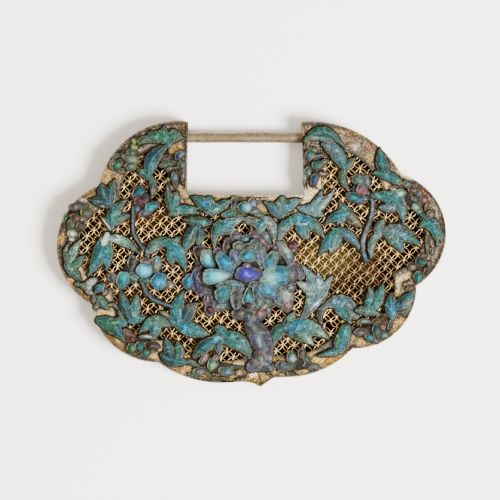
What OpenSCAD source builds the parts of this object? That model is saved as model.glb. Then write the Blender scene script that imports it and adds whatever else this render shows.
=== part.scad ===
// Longevity lock pendant: a hollow lobed lock case of gilt silver with a pierced coin-pattern
// front, a fixed bar across its notch, and feather-inlaid leaves and flowers on top.
// It lies on its back: +Z is up from the front, +Y points to the bar.

/* [Case] */
// Height of the case, from its flat back to the face of the gilt border
case_h = 7; // [7:0.1:10]
// Thickness of the plain back sheet
back_t = 0.5; // [0.4:0.05:1]
// Thickness of the side wall strip
wall_t = 0.6; // [0.4:0.05:1]
// Thickness of the gilt front border
border_t = 0.5; // [0.4:0.05:0.8]
// Width of the gilt border along the lobes
border_w = 6.5; // [5:0.1:8]
// Width of the gilt border around the notch
notch_border_w = 5.7; // [4.5:0.1:6.5]
// Height of the raised line at the border's outer edge
lip_h = 0.3; // [0.15:0.05:0.4]
// Width of that raised line
lip_w = 0.5; // [0.3:0.05:0.7]
// Width of the fine line inside it
fine_line_w = 0.3; // [0.2:0.05:0.4]
// Gap between pieces that lie on each other
gap = 0.05; // [0.03:0.01:0.1]

/* [Coin lattice] */
// Thickness of the pierced sheet
lattice_t = 0.4; // [0.3:0.05:0.6]
// Distance between the pattern's crossings along a row
coin_pitch = 7.8; // [7.6:0.1:9]
// Width of the bands between the openings
coin_band = 0.95; // [0.6:0.05:1.2]
// How far the sheet reaches under the border
lattice_lap = 1.2; // [0.8:0.1:2]

/* [Bar] */
// Diameter of the round bar across the notch
bar_d = 3.2; // [2.6:0.1:3.6]
// Height of the bar's axis over the flat back
bar_z = 3.5; // [3:0.1:3.6]
// How far each end of the bar is hidden in its shoulder
bar_hidden = 3.4; // [2:0.1:5]
// Clearance all round the bar where it passes the wall
bar_play = 0.12; // [0.08:0.01:0.3]

/* [Leaves and petals] */
// Height of a leaf's upright edge
leaf_edge = 0.45; // [0.3:0.05:0.6]
// Rise of a leaf from its edge to its midrib
leaf_rise = 0.7; // [0.3:0.05:0.8]
// Height of a petal's upright edge
petal_edge = 0.35; // [0.25:0.05:0.5]
// Rise of a petal from its edge to its crown
petal_rise = 0.6; // [0.3:0.05:0.6]
// Thickness of the small plates that carry the petals
plate_t = 0.35; // [0.25:0.05:0.4]

/* [Hidden] */
$fn = 72;
// The lobes of the outline: centre x, centre y, radius.
LOBES = [
    [-22.0, 15.8, 24.1],
    [-38.9, 2.2, 19.5],
    [-28.3, -12.9, 19.6],
    [-9.0, -6.7, 32.0],
    [10.2, -9.1, 27.9],
    [30.9, -9.8, 18.6],
    [40.1, 6.2, 18.3],
    [18.3, 9.4, 30.3]
];
// The pointed tip between the two bottom lobes, left to right.
TIP = [[-9, -30], [-9, -38.7], [-2.4, -38.3], [0.6, -38.8], [2.6, -39.9],
    [4.6, -38.6], [6.6, -37.1], [10.2, -37], [10.2, -30]];
// The notch: left and right side at its mouth and at its floor, and the floor's height.
notch_mouth = [-18.9, 14.8];
notch_floor = [-19.5, 15.9];
notch_y = 17.75;
notch_top = 45;
bar_y = 35.05;

border_z = case_h - border_t;
lattice_z = border_z - gap - lattice_t;
// What a leaf or flower sits on: the lattice, or the raised line of the border.
seat_lattice = border_z + gap;
seat_border = case_h + lip_h + gap;
// The raised line starts this far in from the edge, and the fine line this far behind it.
lip_inset = 0.1;
line_gap = 0.5;
// Petals sink this far into the plate that carries them.
sink = 0.05;
bar_left = notch_mouth[0] - bar_hidden;
bar_right = notch_mouth[1] + bar_hidden;
tier_z = [seat_lattice, seat_lattice + plate_t + petal_edge + petal_rise + gap];
heart_z = tier_z[1] + plate_t + petal_edge + petal_rise + gap;

// Leaves: name, seat, blades. Each blade: start x, y; a point it passes, x, y; tip x, y; width.
LEAVES = [
    ["leaf_left_shoulder_top", 1, [
        [-25, 32.6, -28.6, 34.6, -33, 34, 2.8],
        [-25.2, 32.8, -26.3, 35.4, -26, 38, 2.8],
        [-25, 32.8, -23, 34.4, -20.6, 34.5, 2.4]]],
    ["leaf_left_shoulder_long", 1, [
        [-26.5, 31.5, -30.6, 26, -29.5, 18, 3.5],
        [-29.6, 28.5, -31.4, 27, -32.6, 24.6, 1.8]]],
    ["leaf_left_cusp", 1, [
        [-41, 14.6, -42.6, 18.6, -41, 22.5, 3.2],
        [-41.2, 14.8, -44.2, 17.2, -45.6, 20.5, 3.2],
        [-41, 14.5, -44.8, 15.8, -48.5, 15.4, 3]]],
    ["leaf_left_of_notch", 1, [
        [-24.5, 12.8, -24.6, 16.2, -25.2, 19.8, 3],
        [-23.6, 13.6, -22.9, 16.2, -22, 19, 2.6],
        [-24, 14.6, -20, 13.2, -15.5, 13.5, 3]]],
    ["leaf_under_notch_left", 1, [
        [-12, 12, -14.6, 15.4, -18.3, 17.2, 3.4],
        [-12, 12, -10.4, 15, -6.3, 16.5, 3]]],
    ["leaf_upper_left", 1, [
        [-42, 8, -40.2, 12.2, -37, 16, 3.6],
        [-41.6, 8.6, -39, 9.8, -37, 11.5, 2.2],
        [-41.6, 8.4, -43.6, 9, -44.8, 10.6, 2]]],
    ["leaf_left_big", 1, [
        [-34.3, 0.5, -39.6, 4.2, -45.5, 4, 3.4],
        [-43, 4.4, -46.2, -0.6, -48.8, -6.5, 4.2],
        [-42.6, 4, -42.8, -0.2, -43.5, -4.2, 3]]],
    ["leaf_left_border", 1, [
        [-52.3, -7.5, -53, -1.6, -51.5, 4, 3],
        [-52.3, -7.2, -52.6, -3.6, -50.2, -0.8, 2.2],
        [-52.5, -7, -56, -1.6, -56, 4, 2]]],
    ["leaf_left_arch", 0, [
        [-31.5, 0, -28.8, 4.2, -24.4, 2.6, 3],
        [-26, 4, -22.6, 0.6, -20.6, -4.8, 3.8],
        [-25.4, 1.6, -23.6, 4.2, -22, 5, 2.2],
        [-25, 2, -24.9, -0.6, -24, -3.5, 2.2]]],
    ["leaf_left_of_peony", 0, [
        [-19.8, 0.3, -18.6, 5.2, -19.2, 10.4, 3],
        [-18.8, 4.6, -16.4, 8.8, -11.7, 9.2, 3.6],
        [-17.6, 8, -17.4, 5.6, -16.4, 3.2, 2.2]]],
    ["leaf_hood", 1, [
        [-1, 10.4, -9.2, 8.6, -11, 2.2, 3],
        [-2.4, 10.2, 4.6, 9.6, 6.7, 4, 2.8],
        [1.2, 9.4, 3.4, 8.8, 4, 7, 2]]],
    ["leaf_under_notch_right", 1, [
        [9, 11.5, 5.4, 14.4, 1.5, 17.4, 3.4],
        [8.6, 11.8, 10.8, 14.8, 13.8, 16.4, 3.2]]],
    ["leaf_right_pale", 1, [
        [13.3, 14.2, 19.6, 14, 24.2, 18.8, 3.2],
        [15.6, 13.2, 19.4, 15.2, 20.7, 18.6, 2.6],
        [15.2, 13.6, 18.4, 12, 21.2, 11.4, 2.4]]],
    ["leaf_right_arch", 0, [
        [8.2, 4.4, 9.8, 9.8, 14, 11, 3],
        [12, 11.4, 16, 8.8, 21.5, 6.7, 3.2],
        [13.2, 10.8, 15.6, 8.4, 16.6, 5, 2.6]]],
    ["leaf_right_of_peony", 0, [
        [32, 2, 28.4, 5.8, 23.8, 7.8, 3],
        [27.8, 5.6, 23.4, 4, 20, 0.3, 3],
        [26.8, 5.4, 24.6, 3.4, 23.2, 0.8, 2.2]]],
    ["leaf_right_upright", 0, [
        [32.8, 8, 28.6, 11.2, 26, 15.4, 3.2],
        [29.4, 10.4, 25.6, 11, 22.3, 9.2, 2.6],
        [29, 10.6, 27, 10.4, 25.7, 9, 1.8]]],
    ["leaf_right_shoulder_arc", 1, [
        [15.7, 34.3, 21.9, 38.2, 27.5, 32.8, 2.4]]],
    ["leaf_right_shoulder_long", 1, [
        [21.2, 33, 27.2, 28, 28, 20, 3.5],
        [27.6, 24.6, 28.8, 27.2, 30.6, 28.4, 1.8]]],
    ["leaf_right_cusp", 1, [
        [44.5, 20.5, 40.6, 25.6, 38, 32, 4.6],
        [42, 22.8, 38.8, 24.8, 36, 23.6, 2.6]]],
    ["leaf_right_upper", 1, [
        [36.4, 17.2, 42.6, 16, 45.4, 10, 3.2],
        [42.6, 15.6, 40.4, 15.4, 38.5, 14, 1.8]]],
    ["leaf_right_edge", 1, [
        [50.5, 12.6, 54.6, 9, 55, 3.8, 2.8]]],
    ["leaf_right_big_arch", 1, [
        [35.7, -1.4, 36.6, 3.8, 40.4, 7, 3],
        [38.4, 6.6, 44.2, 6.4, 50.4, 2.7, 4],
        [39.6, 6.8, 42.8, 4.6, 45, 1.1, 2.8],
        [38, 5, 38.4, 7.8, 39.8, 10.2, 2.2]]],
    ["leaf_palmette", 0, [
        [15.2, -19.3, 16.2, -10.6, 14.9, -3.4, 3.6],
        [15.2, -19.3, 14.2, -13, 13.2, -8.2, 2.4],
        [15.4, -19.2, 19.8, -11.4, 20.4, -4.8, 4],
        [15.6, -19.2, 20.6, -12.8, 23.7, -6.4, 3.2]]],
    ["leaf_below_palmette", 0, [
        [6.3, -27.5, 8, -22.8, 12.4, -21.6, 3],
        [10, -22.4, 16.4, -22.2, 23.2, -25.3, 4],
        [11, -22.6, 15.4, -24, 18.5, -27.7, 3],
        [10.4, -22.6, 12.2, -20.6, 12.8, -17.6, 2.4]]],
    ["leaf_lower_right_arch", 0, [
        [20.6, -20.6, 22.9, -15.9, 26.4, -13.8, 2.2],
        [24, -14.2, 27.8, -16, 31.5, -18.3, 3.2],
        [26, -14.8, 28.2, -17.4, 29, -20.5, 2.4]]],
    ["leaf_right_fork", 1, [
        [31, -17.5, 35.2, -14.4, 35, -9.7, 3],
        [38.4, -17.4, 37, -13, 39.4, -9, 3],
        [34.2, -15.8, 37.4, -15.6, 40, -18.6, 2.8]]],
    ["leaf_lower_right_border", 1, [
        [44.4, -16.4, 42.4, -14.8, 41.5, -12.2, 2.8],
        [42, -16, 45.8, -14.4, 49.2, -10.6, 3.2],
        [44.2, -14, 43.8, -17, 42, -19.3, 2.8],
        [43, -15.6, 45.6, -16.2, 48, -15.5, 2.2]]],
    ["leaf_bottom_right", 1, [
        [28.3, -21.6, 25.6, -28, 16.6, -30.3, 4]]],
    ["leaf_bottom_arch", 1, [
        [-17, -31, -13, -25.6, -7, -24.6, 3.4],
        [-9.4, -25.2, -3, -26, -0.7, -31, 4],
        [-9.6, -25.8, -10.9, -23.8, -10.7, -21.6, 2.4],
        [-11.4, -25.8, -10.2, -28, -10, -30.5, 2.4]]],
    ["leaf_lower_left_big", 0, [
        [-22, -20.6, -22.2, -15.6, -20.4, -11.3, 3.6],
        [-21.4, -20.4, -18.8, -17.8, -16.8, -14.5, 2.8],
        [-20.6, -19.4, -24, -20.2, -27.2, -17.3, 3],
        [-22, -18.8, -17.4, -21.8, -12, -25, 4.2]]],
    ["leaf_lower_left_small", 1, [
        [-25.6, -22, -29.8, -20.8, -33.6, -23.3, 2.8],
        [-28.4, -20.8, -29.2, -22.8, -29.1, -24.9, 2.4]]],
    ["leaf_left_fork", 0, [
        [-36.6, -20, -38.6, -15.6, -39.2, -11, 3.2],
        [-36.4, -20, -35, -16, -34.8, -12, 3],
        [-37, -18.4, -33.4, -18, -30.6, -20, 2.6]]],
    ["leaf_lower_left_border", 1, [
        [-46.8, -19.6, -42.4, -21.2, -38, -26, 4.4],
        [-43, -22, -40.8, -20.2, -38.6, -19.8, 3]]],
    ["leaf_bottom_left", 1, [
        [-23.6, -31.4, -25.6, -29, -26, -25.8, 2.8],
        [-23.8, -31, -22.6, -29, -22.5, -26.5, 2.6],
        [-27, -31.5, -22, -31, -16.7, -33.3, 3.4]]],
    ["leaf_left_sprig", 1, [
        [-45.6, -10.6, -45.2, -13.8, -43.2, -16.5, 2.4],
        [-46.8, -10.4, -45.2, -9.4, -43.8, -10.2, 2.6]]]
];

// Each petal: centre x, y; length; width; direction of its length in degrees; bow to its left.
PEONY_OUTER = [
    [-18.6, -8.2, 3.8, 3.2, 90, 0],
    [-16.5, -8, 7, 3, 90, 1],
    [-15.4, 1, 2.4, 2.2, 0, 0],
    [-13, -1.3, 4.5, 2.8, 80, 0.4],
    [-10.3, 0.3, 2.2, 2.2, 0, 0],
    [-7, 2.5, 4.5, 2.2, 80, 0.3],
    [-4.8, 5.1, 2.5, 2.5, 0, 0],
    [-1.8, 4.3, 3.5, 2, 10, 0],
    [3, 4.2, 5.6, 2, -55, 1],
    [7.7, 0.7, 2.5, 2.2, 0, 0],
    [9.6, 0.9, 5.4, 2.6, -57, 0.8],
    [11.9, 2.2, 2.3, 2.3, 0, 0],
    [11.9, -6.4, 5, 3, 90, 0],
    [13.3, -5.2, 4, 2.2, 80, 0],
    [9.4, -12.8, 5, 4.6, -40, 0],
    [10.6, -16, 2.3, 2.3, 0, 0],
    [4.6, -14.6, 3.4, 2.6, -20, 0],
    [2.4, -17.8, 3.6, 3.4, 90, 0],
    [-3.5, -17.4, 4, 3, 0, 0],
    [-0.2, -17, 3, 2.4, 0, 0],
    [-9, -15.3, 4.5, 2.7, -15, 0],
    [-12.3, -16.4, 2.8, 2.3, 60, 0],
    [-12.7, -13.5, 4, 2.4, 60, 0.4],
    [-14.3, -7, 3, 2.3, 90, 0],
    [-9.4, -12, 4.3, 3.4, 20, 0]
];
PEONY_MIDDLE = [
    [-8, -2.3, 5, 3.5, 110, 0],
    [-5, -1, 4.8, 2.5, 95, 0],
    [-1, -0.3, 4.2, 3.3, 0, 0],
    [2, -1, 5, 2.5, 90, 0],
    [5.6, -1.7, 4.5, 3.2, 60, 0],
    [-4, 2.1, 2.4, 2, 0, 0],
    [-1, 1.9, 1.8, 1.4, 0, 0],
    [-10.3, -6.7, 8.5, 5.3, 0, 0],
    [7.3, -6.6, 8.5, 5.5, 0, 0],
    [-4, -13, 5.5, 2.7, 80, 0],
    [1.8, -11, 3, 2.2, 40, 0],
    [5.3, -11, 5.5, 3, -35, 0],
    [-5, -9.7, 5, 2, -10, 0],
    [-1, -12.5, 4.8, 4, 90, 0],
    [-1, -15.2, 1.8, 1.5, 0, 0]
];
PEONY_HEART = [
    [-1.2, -6.2, 7, 4.4, 0, 0],
    [-1.2, -3.6, 2, 1.8, 0, 0]
];

// Small flowers: name, seat, centre x, y and two radii of the plate that carries it, petals.
FLOWERS = [
    ["bud_upper_left", 0, [-32.2, 15.6, 2.6, 3.4], [
        [-33.5, 18.4, 3, 2.6, 0, 0],
        [-33.3, 16, 4, 3, 0, 0],
        [-30.4, 14.2, 4.5, 2.5, 25, 0],
        [-32.2, 12.4, 2.6, 2, 0, 0]]],
    ["blossom_left", 0, [-32.8, -5, 6.4, 3.2], [
        [-35.5, -2.4, 4.2, 2.2, 90, 0],
        [-32, -2.5, 2.5, 2, 0, 0],
        [-32, -5, 4, 3.3, 0, 0],
        [-29, -3, 4.5, 3, 90, 0],
        [-38.2, -7.2, 4.4, 3.4, 70, 0],
        [-35.4, -7, 3, 2.6, 0, 0],
        [-28, -7.2, 4.5, 3.6, 0, 0],
        [-31.8, -7.8, 3, 2.2, 0, 0]]],
    ["bud_upper_right", 0, [32.6, 19.6, 2.6, 3.2], [
        [32, 22, 4, 3, 10, 0],
        [34.3, 21.8, 3.6, 2, 90, 0],
        [33, 19.3, 3.4, 3, 90, 0],
        [31.2, 17.2, 5, 2.5, -20, 0]]],
    ["floret_left_shoulder", 1, [-38, 28, 3, 3.2], [
        [-40.2, 26.2, 3.5, 2.5, 45, 0],
        [-36.9, 26, 3.2, 2.6, -20, 0],
        [-36.5, 28.4, 4, 2, 15, 0],
        [-39.2, 29.4, 3, 2, 50, 0],
        [-36.6, 31.6, 2.4, 2, 60, 0]]],
    ["floret_left_of_notch", 1, [-23.4, 26.6, 2.4, 3.6], [
        [-21.9, 29.3, 3, 2.2, 90, 0],
        [-25.6, 28.8, 3, 1.7, 0, 0],
        [-25, 27, 4.6, 2.2, 0, 0],
        [-22.2, 25.6, 3.6, 1.8, 100, 0],
        [-22.8, 22.4, 4.3, 2.2, 90, 0]]],
    ["floret_right_of_notch", 1, [19, 26, 2.2, 3.6], [
        [17.7, 29, 3, 2.6, 60, 0],
        [19.7, 27, 3, 2.5, 0, 0],
        [21.4, 28, 3, 1.7, 20, 0],
        [17.8, 24.6, 3.4, 1.7, 80, 0],
        [18.9, 22.6, 4, 2.3, 90, 0],
        [21.2, 24, 2.2, 1.6, 0, 0]]],
    ["floret_top_centre", 1, [-2.4, 14.1, 4, 2], [
        [-5, 14.6, 4, 1.7, 90, 0],
        [-2, 14, 3.5, 2.6, 0, 0],
        [0.3, 15, 2.5, 2.2, 90, 0],
        [-2.5, 15.8, 2.8, 1.6, 0, 0],
        [-6.2, 12.6, 4.2, 1.8, -10, 0],
        [1, 13.1, 2.8, 1.8, -20, 0]]],
    ["floret_left_edge", 1, [-53, 9.6, 2, 4.4], [
        [-53, 14, 3.2, 2.4, 0, 0],
        [-53, 11, 2.4, 2, 0, 0],
        [-54, 8.9, 3, 2.2, 0, 0],
        [-53.4, 6.5, 2.4, 2.2, 0, 0],
        [-51.2, 9, 3.8, 1.6, 90, 0]]],
    ["floret_lower_left", 1, [-33.6, -26.8, 3.6, 2.2], [
        [-36.3, -25, 3.4, 2.6, 20, 0],
        [-36, -28, 2.6, 2, 70, 0],
        [-33.5, -28.2, 3, 2.5, 90, 0],
        [-31.8, -29.2, 2.4, 2, 0, 0],
        [-30.4, -27.6, 3.6, 2.2, -20, 0]]],
    ["floret_bottom_left", 1, [-9.6, -34.4, 6.6, 1.8], [
        [-14.4, -33.2, 2.8, 2.2, 40, 0],
        [-11.6, -32.9, 3.4, 2.8, 90, 0],
        [-15.3, -35.1, 4, 2.2, 10, 0],
        [-8, -35.2, 4.5, 2.4, 0, 0],
        [-3.9, -35.5, 2.6, 1.8, 0, 0]]],
    ["floret_bottom_right", 1, [13.8, -33.2, 4.4, 1.8], [
        [12, -31.8, 3.4, 2.5, 90, 0],
        [15.4, -32, 2.8, 2, 80, 0],
        [10.2, -33.8, 4.5, 2.5, 0, 0],
        [17.8, -33.8, 4.5, 2.2, 10, 0]]],
    ["floret_lower_right", 1, [36.2, -23.2, 3.6, 2], [
        [33.9, -21.4, 3.6, 1.7, 50, 0],
        [33, -23.7, 3.5, 2.5, 0, 0],
        [35.5, -25, 2.6, 2, 0, 0],
        [37.6, -23, 2.8, 2.4, 0, 0],
        [39.7, -23.6, 2.4, 2, 0, 0],
        [39.2, -21.4, 3, 2, 0, 0]]],
    ["floret_right", 1, [50.3, -3.7, 2, 3.4], [
        [50.8, -1.8, 3.5, 2, 0, 0],
        [50.2, -6.3, 3, 2.3, 90, 0],
        [51.7, -4.4, 3, 1.8, 80, 0],
        [48.7, -3.8, 3, 1.8, 90, 0]]],
    ["floret_upper_right", 1, [47.8, 17.4, 2.6, 2.8], [
        [47, 20, 3, 2.2, -40, 0],
        [48.6, 18.6, 2.6, 1.8, 0, 0],
        [50, 17.2, 3, 1.8, 70, 0],
        [45.2, 18.4, 2.2, 1.9, 0, 0],
        [49.3, 15, 3, 1.8, 80, 0],
        [46.5, 15.8, 3, 1.8, 0, 0]]]
];

// Stems and the peony's trunk: points of the middle line, each with the width there.
STEMS = [
    ["stem_upper_left", 0, [[-35.6, 14, 1], [-36, 10, 1], [-35.3, 7, 1.1], [-34.3, 4, 1.1],
        [-33.4, 2.2, 1.1]]],
    ["stem_lower_left", 0, [[-32.5, -9.6, 1.1], [-31.2, -12, 1.2], [-28.1, -14.3, 1.2],
        [-24.7, -15.4, 1.2]]],
    ["stem_right", 0, [[34.8, 16.6, 1.1], [35.5, 12, 1.2], [34.4, 8, 1.3], [33.4, 4.5, 1.4],
        [33.2, 1, 1.5], [34, -2.4, 1.6]]],
    ["peony_trunk", 1, [[0.6, -20.6, 4.6], [1.7, -23.5, 4.8], [3.2, -28, 4.8],
        [2.5, -32, 5.6], [1.7, -34.8, 6.4]]]
];

function column(table, i) = [for (row = table) row[i]];

function seat(i) = [seat_lattice, seat_border][i];
// A quadratic curve from a through b to c.
function curve(a, b, c, t) =
    let (q = 2 * b - (a + c) / 2) (1 - t) * (1 - t) * a + 2 * t * (1 - t) * q + t * t * c;
// Stations crowd towards both ends, where an outline turns fastest.
function eased(i, n) = (1 - cos(180 * i / n)) / 2;
function side_of(path, i) =
    let (d = path[min(i + 1, len(path) - 1)] - path[max(i - 1, 0)]) [-d[1], d[0]] / norm(d);

// A crowned strip: flat underside, upright edges, a ridge along the middle line.
module strip(path, widths, z, edge, rise) {
    n = len(path);
    widest = max(widths);
    sections = [for (i = [0:n - 1])
        let (p = path[i], s = side_of(path, i) * widths[i] / 2, crown = rise * widths[i] / widest)
            [[p[0] + s[0], p[1] + s[1], z], [p[0] - s[0], p[1] - s[1], z],
            [p[0] - s[0], p[1] - s[1], z + edge], [p[0], p[1], z + edge + crown],
            [p[0] + s[0], p[1] + s[1], z + edge]]];
    k = 5;
    polyhedron(points = [for (s = sections) for (p = s) p],
        faces = concat(
            [[for (j = [0:k - 1]) k - 1 - j]],
            [for (i = [0:n - 2]) for (j = [0:k - 1])
                [i * k + (j + 1) % k, (i + 1) * k + (j + 1) % k, (i + 1) * k + j, i * k + j]],
            [[for (j = [0:k - 1]) (n - 1) * k + j]]));
}

// One blade of a leaf: widest near its middle, pointed at both ends.
module blade(row, z) {
    n = 7;
    a = [row[0], row[1]];
    b = [row[2], row[3]];
    c = [row[4], row[5]];
    path = [for (i = [0:n]) curve(a, b, c, i / n)];
    widths = [for (i = [0:n]) max(0.5, row[6] * sin(15 + 165 * i / n))];
    strip(path, [for (i = [0:n]) i == n ? 0.3 : widths[i]], z, leaf_edge, leaf_rise);
}

// One petal: an oval dome, straight or bowed.
module petal(row, z) {
    n = 6;
    along = [cos(row[4]), sin(row[4])];
    across = [-along[1], along[0]];
    middle = [row[0], row[1]];
    path = [for (i = [0:n]) curve(middle - along * row[2] / 2, middle + across * row[5],
        middle + along * row[2] / 2, eased(i, n))];
    widths = [for (i = [0:n]) max(0.3 * row[3], row[3] * sin(180 * i / n))];
    strip(path, widths, z, petal_edge, petal_rise);
}

module oval_plate(x, y, rx, ry, z) {
    translate([x, y, z]) linear_extrude(plate_t)
        polygon([for (a = [0:20:340]) [rx * cos(a), ry * sin(a)]]);
}

module petals(rows, z) {
    for (row = rows) petal(row, z);
}

module notch_shape(grow) {
    polygon([[notch_mouth[0] - grow, notch_top], [notch_floor[0] - grow, notch_y - grow],
        [notch_floor[1] + grow, notch_y - grow], [notch_mouth[1] + grow, notch_top]]);
}

// The lock's outline, drawn in by `inset` all round.
module outline(inset) {
    difference() {
        union() {
            for (lobe = LOBES) translate([lobe[0], lobe[1]]) circle(lobe[2] - inset);
            translate([0, inset]) polygon(TIP);
        }
        notch_shape(inset);
    }
}

// The pierced field inside the gilt border, drawn in by `inset` all round.
module field(inset) {
    difference() {
        for (lobe = LOBES) translate([lobe[0], lobe[1]]) circle(lobe[2] - border_w - inset);
        notch_shape(notch_border_w + inset);
    }
}

function in_lobe(p, inset) = len([for (lobe = LOBES)
    if (norm(p - [lobe[0], lobe[1]]) < lobe[2] - border_w - inset) 1]) > 0;
function in_notch(p, inset) = p[1] > notch_y - notch_border_w - inset
    && p[0] > notch_floor[0] - notch_border_w - inset
    && p[0] < notch_floor[1] + notch_border_w + inset;
function in_field(p, inset) = in_lobe(p, inset) && !in_notch(p, inset);

module case_tray() color("#b08a4c") {
    difference() {
        linear_extrude(border_z - gap) outline(0);
        translate([0, 0, back_t]) linear_extrude(case_h) outline(wall_t);
        translate([bar_left - 1, bar_y, bar_z]) rotate([0, 90, 0])
            cylinder(d = bar_d + 2 * bar_play, h = bar_right - bar_left + 2);
    }
}

module raised_line(inset, width, height) {
    translate([0, 0, case_h]) linear_extrude(height) difference() {
        outline(inset);
        outline(inset + width);
    }
}

module front_border() color("#c8a25c") {
    translate([0, 0, border_z]) linear_extrude(border_t) difference() {
        outline(0);
        field(0);
    }
    raised_line(lip_inset, lip_w, lip_h);
    raised_line(lip_inset + lip_w + line_gap, fine_line_w, lip_h / 2);
}

// The gap between four coins that touch: a square with hollow sides.
module coin_gap(x, y) {
    r = coin_pitch / 2 - coin_band;
    c = 0.62 * r;
    translate([x, y]) polygon([[r, 0], [c / 2, c / 2], [0, r], [-c / 2, c / 2],
        [-r, 0], [-c / 2, -c / 2], [0, -r], [c / 2, -c / 2]]);
}

module lattice() color("#d2ae74") {
    translate([0, 0, lattice_z]) linear_extrude(lattice_t) difference() {
        field(-lattice_lap);
        for (j = [-9:9], i = [-8:8])
            let (x = (i + (j % 2) / 2) * coin_pitch, y = j * coin_pitch / 2)
                if (in_field([x, y], 1.2)) coin_gap(x, y);
    }
}

module cross_bar() color("#b2986e") {
    translate([bar_left, bar_y, bar_z]) rotate([0, 90, 0])
        cylinder(d = bar_d, h = bar_right - bar_left);
}

module peony_outer_petals() color("#7f93ab") {
    oval_plate(-2.3, -6.4, 15.4, 11.4, tier_z[0]);
    petals(PEONY_OUTER, tier_z[0] + plate_t - sink);
}

module peony_middle_petals() color("#7fb3c4") {
    oval_plate(-1.5, -6.4, 9.5, 8.2, tier_z[1]);
    petals(PEONY_MIDDLE, tier_z[1] + plate_t - sink);
}

module peony_heart() color("#5b63b8") {
    petals(PEONY_HEART, heart_z);
}

module stem(row) color("#7c7f95") {
    strip([for (p = row[2]) [p[0], p[1]]], [for (p = row[2]) p[2]], seat(row[1]),
        leaf_edge, leaf_rise / 2);
}

module flower(row) color("#6f9fa8") {
    plate = row[2];
    oval_plate(plate[0], plate[1], plate[2], plate[3], seat(row[1]));
    petals(row[3], seat(row[1]) + plate_t - sink);
}

module leaf(row) color("#2f8f98") {
    for (b = row[2]) blade(b, seat(row[1]));
}

case_tray();
front_border();
lattice();
cross_bar();
peony_outer_petals();
peony_middle_petals();
peony_heart();
for (row = STEMS) stem(row);
for (row = FLOWERS) flower(row);
for (row = LEAVES) leaf(row);
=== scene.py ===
import math
import bpy
import numpy as np
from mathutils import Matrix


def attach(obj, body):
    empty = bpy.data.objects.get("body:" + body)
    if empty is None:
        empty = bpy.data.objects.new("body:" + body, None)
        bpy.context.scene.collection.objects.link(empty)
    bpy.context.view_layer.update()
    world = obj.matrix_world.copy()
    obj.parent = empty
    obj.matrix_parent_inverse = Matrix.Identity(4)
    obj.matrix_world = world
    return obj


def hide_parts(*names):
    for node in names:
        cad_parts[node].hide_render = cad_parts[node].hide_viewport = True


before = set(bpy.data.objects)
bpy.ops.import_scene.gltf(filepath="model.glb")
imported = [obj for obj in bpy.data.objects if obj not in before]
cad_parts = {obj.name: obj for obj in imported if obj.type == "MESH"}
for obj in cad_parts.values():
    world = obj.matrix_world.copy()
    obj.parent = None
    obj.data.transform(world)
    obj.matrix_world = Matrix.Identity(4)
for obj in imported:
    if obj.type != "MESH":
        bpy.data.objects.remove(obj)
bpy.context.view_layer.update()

mm = 0.001

# Colours by their plain names, as screen hex codes
tints = {
    "teal": "0a686a", "deepTeal": "043e46", "greenTeal": "1a5e4e", "blueTeal": "0a7082", "blue": "125aa0",
    "brightTeal": "02767e", "cyan": "08b6ca", "paleCyan": "a4e8e8", "ice": "54dcfa", "azure": "008aac",
    "duskTeal": "34564c", "greyTeal": "466e66", "green": "2c6e4c", "paleGreen": "709f88",
    "lightGreen": "8cb98c", "mint": "80c4ac", "yellowGreen": "aab466", "steel": "4c5654", "slate": "3a4042",
    "grey": "666a5e", "paleGrey": "769094", "greyBlue": "4a6c78", "paleBlue": "608a94", "navy": "1c2870",
    "violet": "4440b8", "lavender": "8080c8", "greyLavender": "6a6c7c", "mauve": "826672",
    "greyPurple": "4e4856", "plum": "3e3846",
    "rose": "9c4f58", "pink": "c98a96", "roseWhite": "ccb8bc", "redBrown": "6a3032", "greyBrown": "5f524e",
    "darkBrown": "2c211c", "orange": "b47438", "amber": "dcb070", "silver": "b4c2b8", "white": "f4f6f0",
    # On the next line the second colour is painted shade, seen in the gaps between petals and on the flowers'
    # plates, and the third a painted shadow: the near-black foot outline round each leaf, stem and petal
    "black": "1e1711", "under": "28231b", "foot": "1a130b",
    "rim": "807c58", "rimPale": "a2a68a", "rimPurple": "72686e", "rimBlue": "7a8882", "rimDark": "74664a",
}


# A screen colour as the linear one a shader takes: the standard curve, (c + 0.055) / 1.055 to the power
# 2.4, times a share that allows for the bright lights
def paint(name, share=0.27):
    code = tints.get(name, name)
    parts = [int(code[i:i + 2], 16) / 255 for i in (0, 2, 4)]
    return tuple(share * (p / 12.92 if p < 0.04045 else ((p + 0.055) / 1.055) ** 2.4) for p in parts) + (1.0,)


# Small helpers for node trees
def feed(tree, socket, value):
    if isinstance(value, bpy.types.NodeSocket):
        tree.links.new(value, socket)
    else:
        socket.default_value = value


def addNode(tree, kind, inputs=None, **settings):
    node = tree.nodes.new(kind)
    for key, value in settings.items():
        setattr(node, key, value)
    for key, value in (inputs or {}).items():
        feed(tree, node.inputs[key], value)
    return node


def objectPoint(tree):
    return addNode(tree, "ShaderNodeTexCoord").outputs["Object"]


def grain(tree, vector, scale, detail=3.0, rough=0.55, warp=0.0):
    values = {"Vector": vector, "Scale": scale, "Detail": detail, "Roughness": rough, "Distortion": warp}
    return addNode(tree, "ShaderNodeTexNoise", values).outputs["Fac"]


def remap(tree, value, low, high, outLow=0.0, outHigh=1.0):
    values = {"Value": value, "From Min": low, "From Max": high, "To Min": outLow, "To Max": outHigh}
    return addNode(tree, "ShaderNodeMapRange", values, clamp=True).outputs["Result"]


def mix(tree, factor, first, second, mode="MIX"):
    node = addNode(tree, "ShaderNodeMix", data_type="RGBA", blend_type=mode)
    for index, value in ((0, factor), (6, first), (7, second)):
        feed(tree, node.inputs[index], value)
    return node.outputs[2]


def maths(tree, operation, first, second=0.0):
    node = addNode(tree, "ShaderNodeMath", operation=operation)
    feed(tree, node.inputs[0], first)
    feed(tree, node.inputs[1], second)
    return node.outputs[0]


def plus(tree, first, second):
    return maths(tree, "ADD", first, second)


def times(tree, first, second):
    return maths(tree, "MULTIPLY", first, second)


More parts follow.
